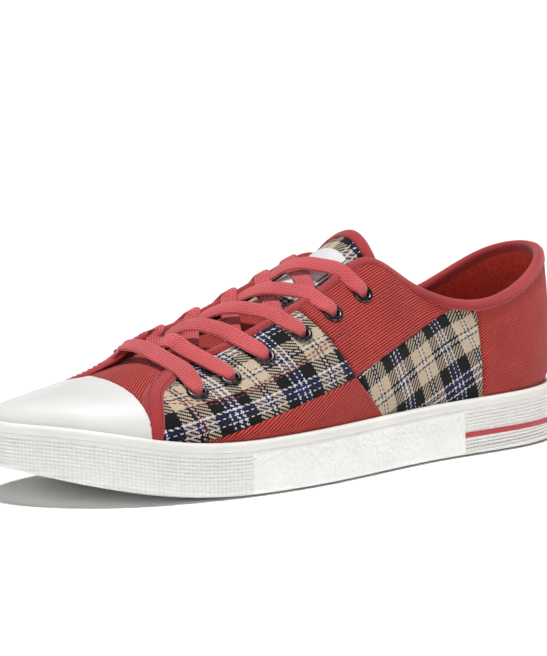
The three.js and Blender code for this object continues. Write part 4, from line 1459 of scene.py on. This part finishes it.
# %% [markdown]
# ## Stitching
# Sewn seams are short thread lengths in a row, so Geometry Nodes make them: one small rounded stitch
# is placed on every point of a row and turned along the seam and out of the cloth. The rows are
# computed on the wall, so the stitches follow it. Sizes are named inputs of the tree.


# %% Stitch tree
def stored(tree, name):
    """A direction stored on the points."""
    kind = "GeometryNodeInputNamedAttribute"
    return add(tree, kind, inputs={"Name": name}, data_type="FLOAT_VECTOR").outputs[0]


def stitch_tree():
    """Points with two stored directions become small rounded stitches."""
    tree = bpy.data.node_groups.new("row of stitches", "GeometryNodeTree")
    interface = tree.interface
    interface.new_socket("Geometry", in_out="INPUT", socket_type="NodeSocketGeometry")
    for name, value in (("Stitch length", 2.0 * MM), ("Thread width", 0.7 * MM)):
        socket = interface.new_socket(name, in_out="INPUT", socket_type="NodeSocketFloat")
        socket.default_value = value
    interface.new_socket("Thread", in_out="INPUT", socket_type="NodeSocketMaterial")
    interface.new_socket("Geometry", in_out="OUTPUT", socket_type="NodeSocketGeometry")
    source = add(tree, "NodeGroupInput").outputs
    points, length, width, thread = (source[k] for k in range(4))
    ball = add(tree, "GeometryNodeMeshUVSphere", inputs={"Segments": 8, "Rings": 6, "Radius": 0.5}).outputs[0]
    size = add(tree, "ShaderNodeCombineXYZ", {0: length, 1: width, 2: width}).outputs[0]
    stitch = add(tree, "GeometryNodeTransform", {"Geometry": ball, "Scale": size}).outputs[0]
    align = "FunctionNodeAlignRotationToVector"
    along = add(tree, align, {"Vector": stored(tree, "heading")}, axis="X").outputs[0]
    upright = {"Rotation": along, "Vector": stored(tree, "upward")}
    turned_up = add(tree, align, upright, axis="Z", pivot_axis="X").outputs[0]
    put = {"Points": points, "Instance": stitch, "Rotation": turned_up}
    placed = add(tree, "GeometryNodeInstanceOnPoints", put).outputs[0]
    real = add(tree, "GeometryNodeRealizeInstances", {"Geometry": placed}).outputs[0]
    rounded = add(tree, "GeometryNodeSetShadeSmooth", {"Geometry": real}).outputs[0]
    sewn = add(tree, "GeometryNodeSetMaterial", {"Geometry": rounded, "Material": thread}).outputs[0]
    add(tree, "NodeGroupOutput", {"Geometry": sewn})
    return tree


STITCH_TREE = stitch_tree()


def stitch_row(path, normals, pitch):
    """Evenly spaced places on a path, with the direction along it and out of the cloth."""
    length = path_length(path)
    marks = np.arange(pitch / 2, length[-1], pitch)

    def at(values, distances):
        """Values at distances along the path."""
        return np.stack([np.interp(distances, length, line) for line in values.T], -1)

    return at(path, marks), unit(at(path, marks + 0.5) - at(path, marks - 0.5)), unit(at(normals, marks))


def stitches(name, rows, length, width, thread, slot):
    """One piece with all the stitches of its rows."""
    points, headings, ups = (np.concatenate(group) for group in zip(*rows))
    item = add_object(name, points, [])
    for key, values in (("heading", headings), ("upward", ups)):
        layer = item.data.attributes.new(key, "FLOAT_VECTOR", "POINT")
        layer.data.foreach_set("vector", values.ravel())
    modifier = item.modifiers.new("stitches", "NODES")
    modifier.node_group = STITCH_TREE
    sockets = {s.name: s.identifier for s in STITCH_TREE.interface.items_tree if s.in_out == "INPUT"}
    modifier[sockets["Stitch length"]] = length * MM
    modifier[sockets["Thread width"]] = width * MM
    modifier[sockets["Thread"]] = thread
    graph = bpy.context.evaluated_depsgraph_get()
    made = bpy.data.meshes.new_from_object(item.evaluated_get(graph))
    item.modifiers.clear()
    item.data = made
    tidy_piece(item, slot)
    print(f"{name}: {len(points)} stitches")


# %% Rows of stitches
STAY = [  # station and share of the double row below the eyelets
    (2.62, 0.4), (2.9, 0.38), (3.33, 0.375), (3.95, 0.45), (4.6, 0.49), (5.12, 0.53),
    (5.65, 0.55), (6.38, 0.6), (6.9, 0.7), (7.2, 0.8), (7.4, 0.93),
]
CURVE = [(2.62, 0.62), (2.78, 0.52), (2.88, 0.43), (3.0, 0.26), (3.08, 0.12), (3.12, 0.02)]
QUARTER_LIFT, QUARTER_PITCH, TAPE_PITCH = 1.1, 2.6, 2.5
rows = []
for inner_side in (False, True):
    for route, station_gap, share_gap in ((STAY, 0.0, 0.016), (CURVE, 0.028, 0.0)):
        line = open_curve(route, 30)
        for gap in (-1, 1):
            places = line[:, 0] + station_gap * gap
            places = AROUND - places if inner_side else places
            shares = np.clip(line[:, 1] + share_gap * gap, 0.01, 0.98)
            ups = facing(places, shares)
            rows.append(stitch_row(wall(places, shares) + ups * QUARTER_LIFT, ups, QUARTER_PITCH))
stitches("quarter_stitches", rows, 2.0, 0.55, THREAD, "stitch_thread")

TAPE_ROW = 12  # the rows start this many places from the tape's ends
keep = slice(TAPE_ROW, len(tape_path) - TAPE_ROW)
ahead = unit(np.gradient(tape_path, axis=0))
square = unit(tape_normals - (tape_normals * ahead).sum(-1, keepdims=True) * ahead)
inward = np.cross(ahead, square)
wider = on_front[:, None]  # the outer front edge has a second row near the vamp
tape_line = tape_path + inward * (2.9 + 2.2 * wider) + square * (1.78 + 0.22 * wider)
front_line = tape_path + inward * 0.4 + square * 2.0
low_end = slice(TAPE_ROW, len(front_shares) - 6)
tape_rows = [
    stitch_row(tape_line[keep], square[keep], TAPE_PITCH),
    stitch_row(front_line[low_end], square[low_end], TAPE_PITCH),
]
stitches("binding_stitches", tape_rows, 1.8, 0.5, THREAD, "stitch_thread")

# %% Carried over parts
for node, material in (("outsole", SOLE_RUBBER), ("midsole", BOARD), ("insole", INSOLE_CLOTH)):
    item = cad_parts[node]
    for place in range(len(item.material_slots)):
        item.material_slots[place].material = material
    if not item.material_slots:
        item.data.materials.append(material)
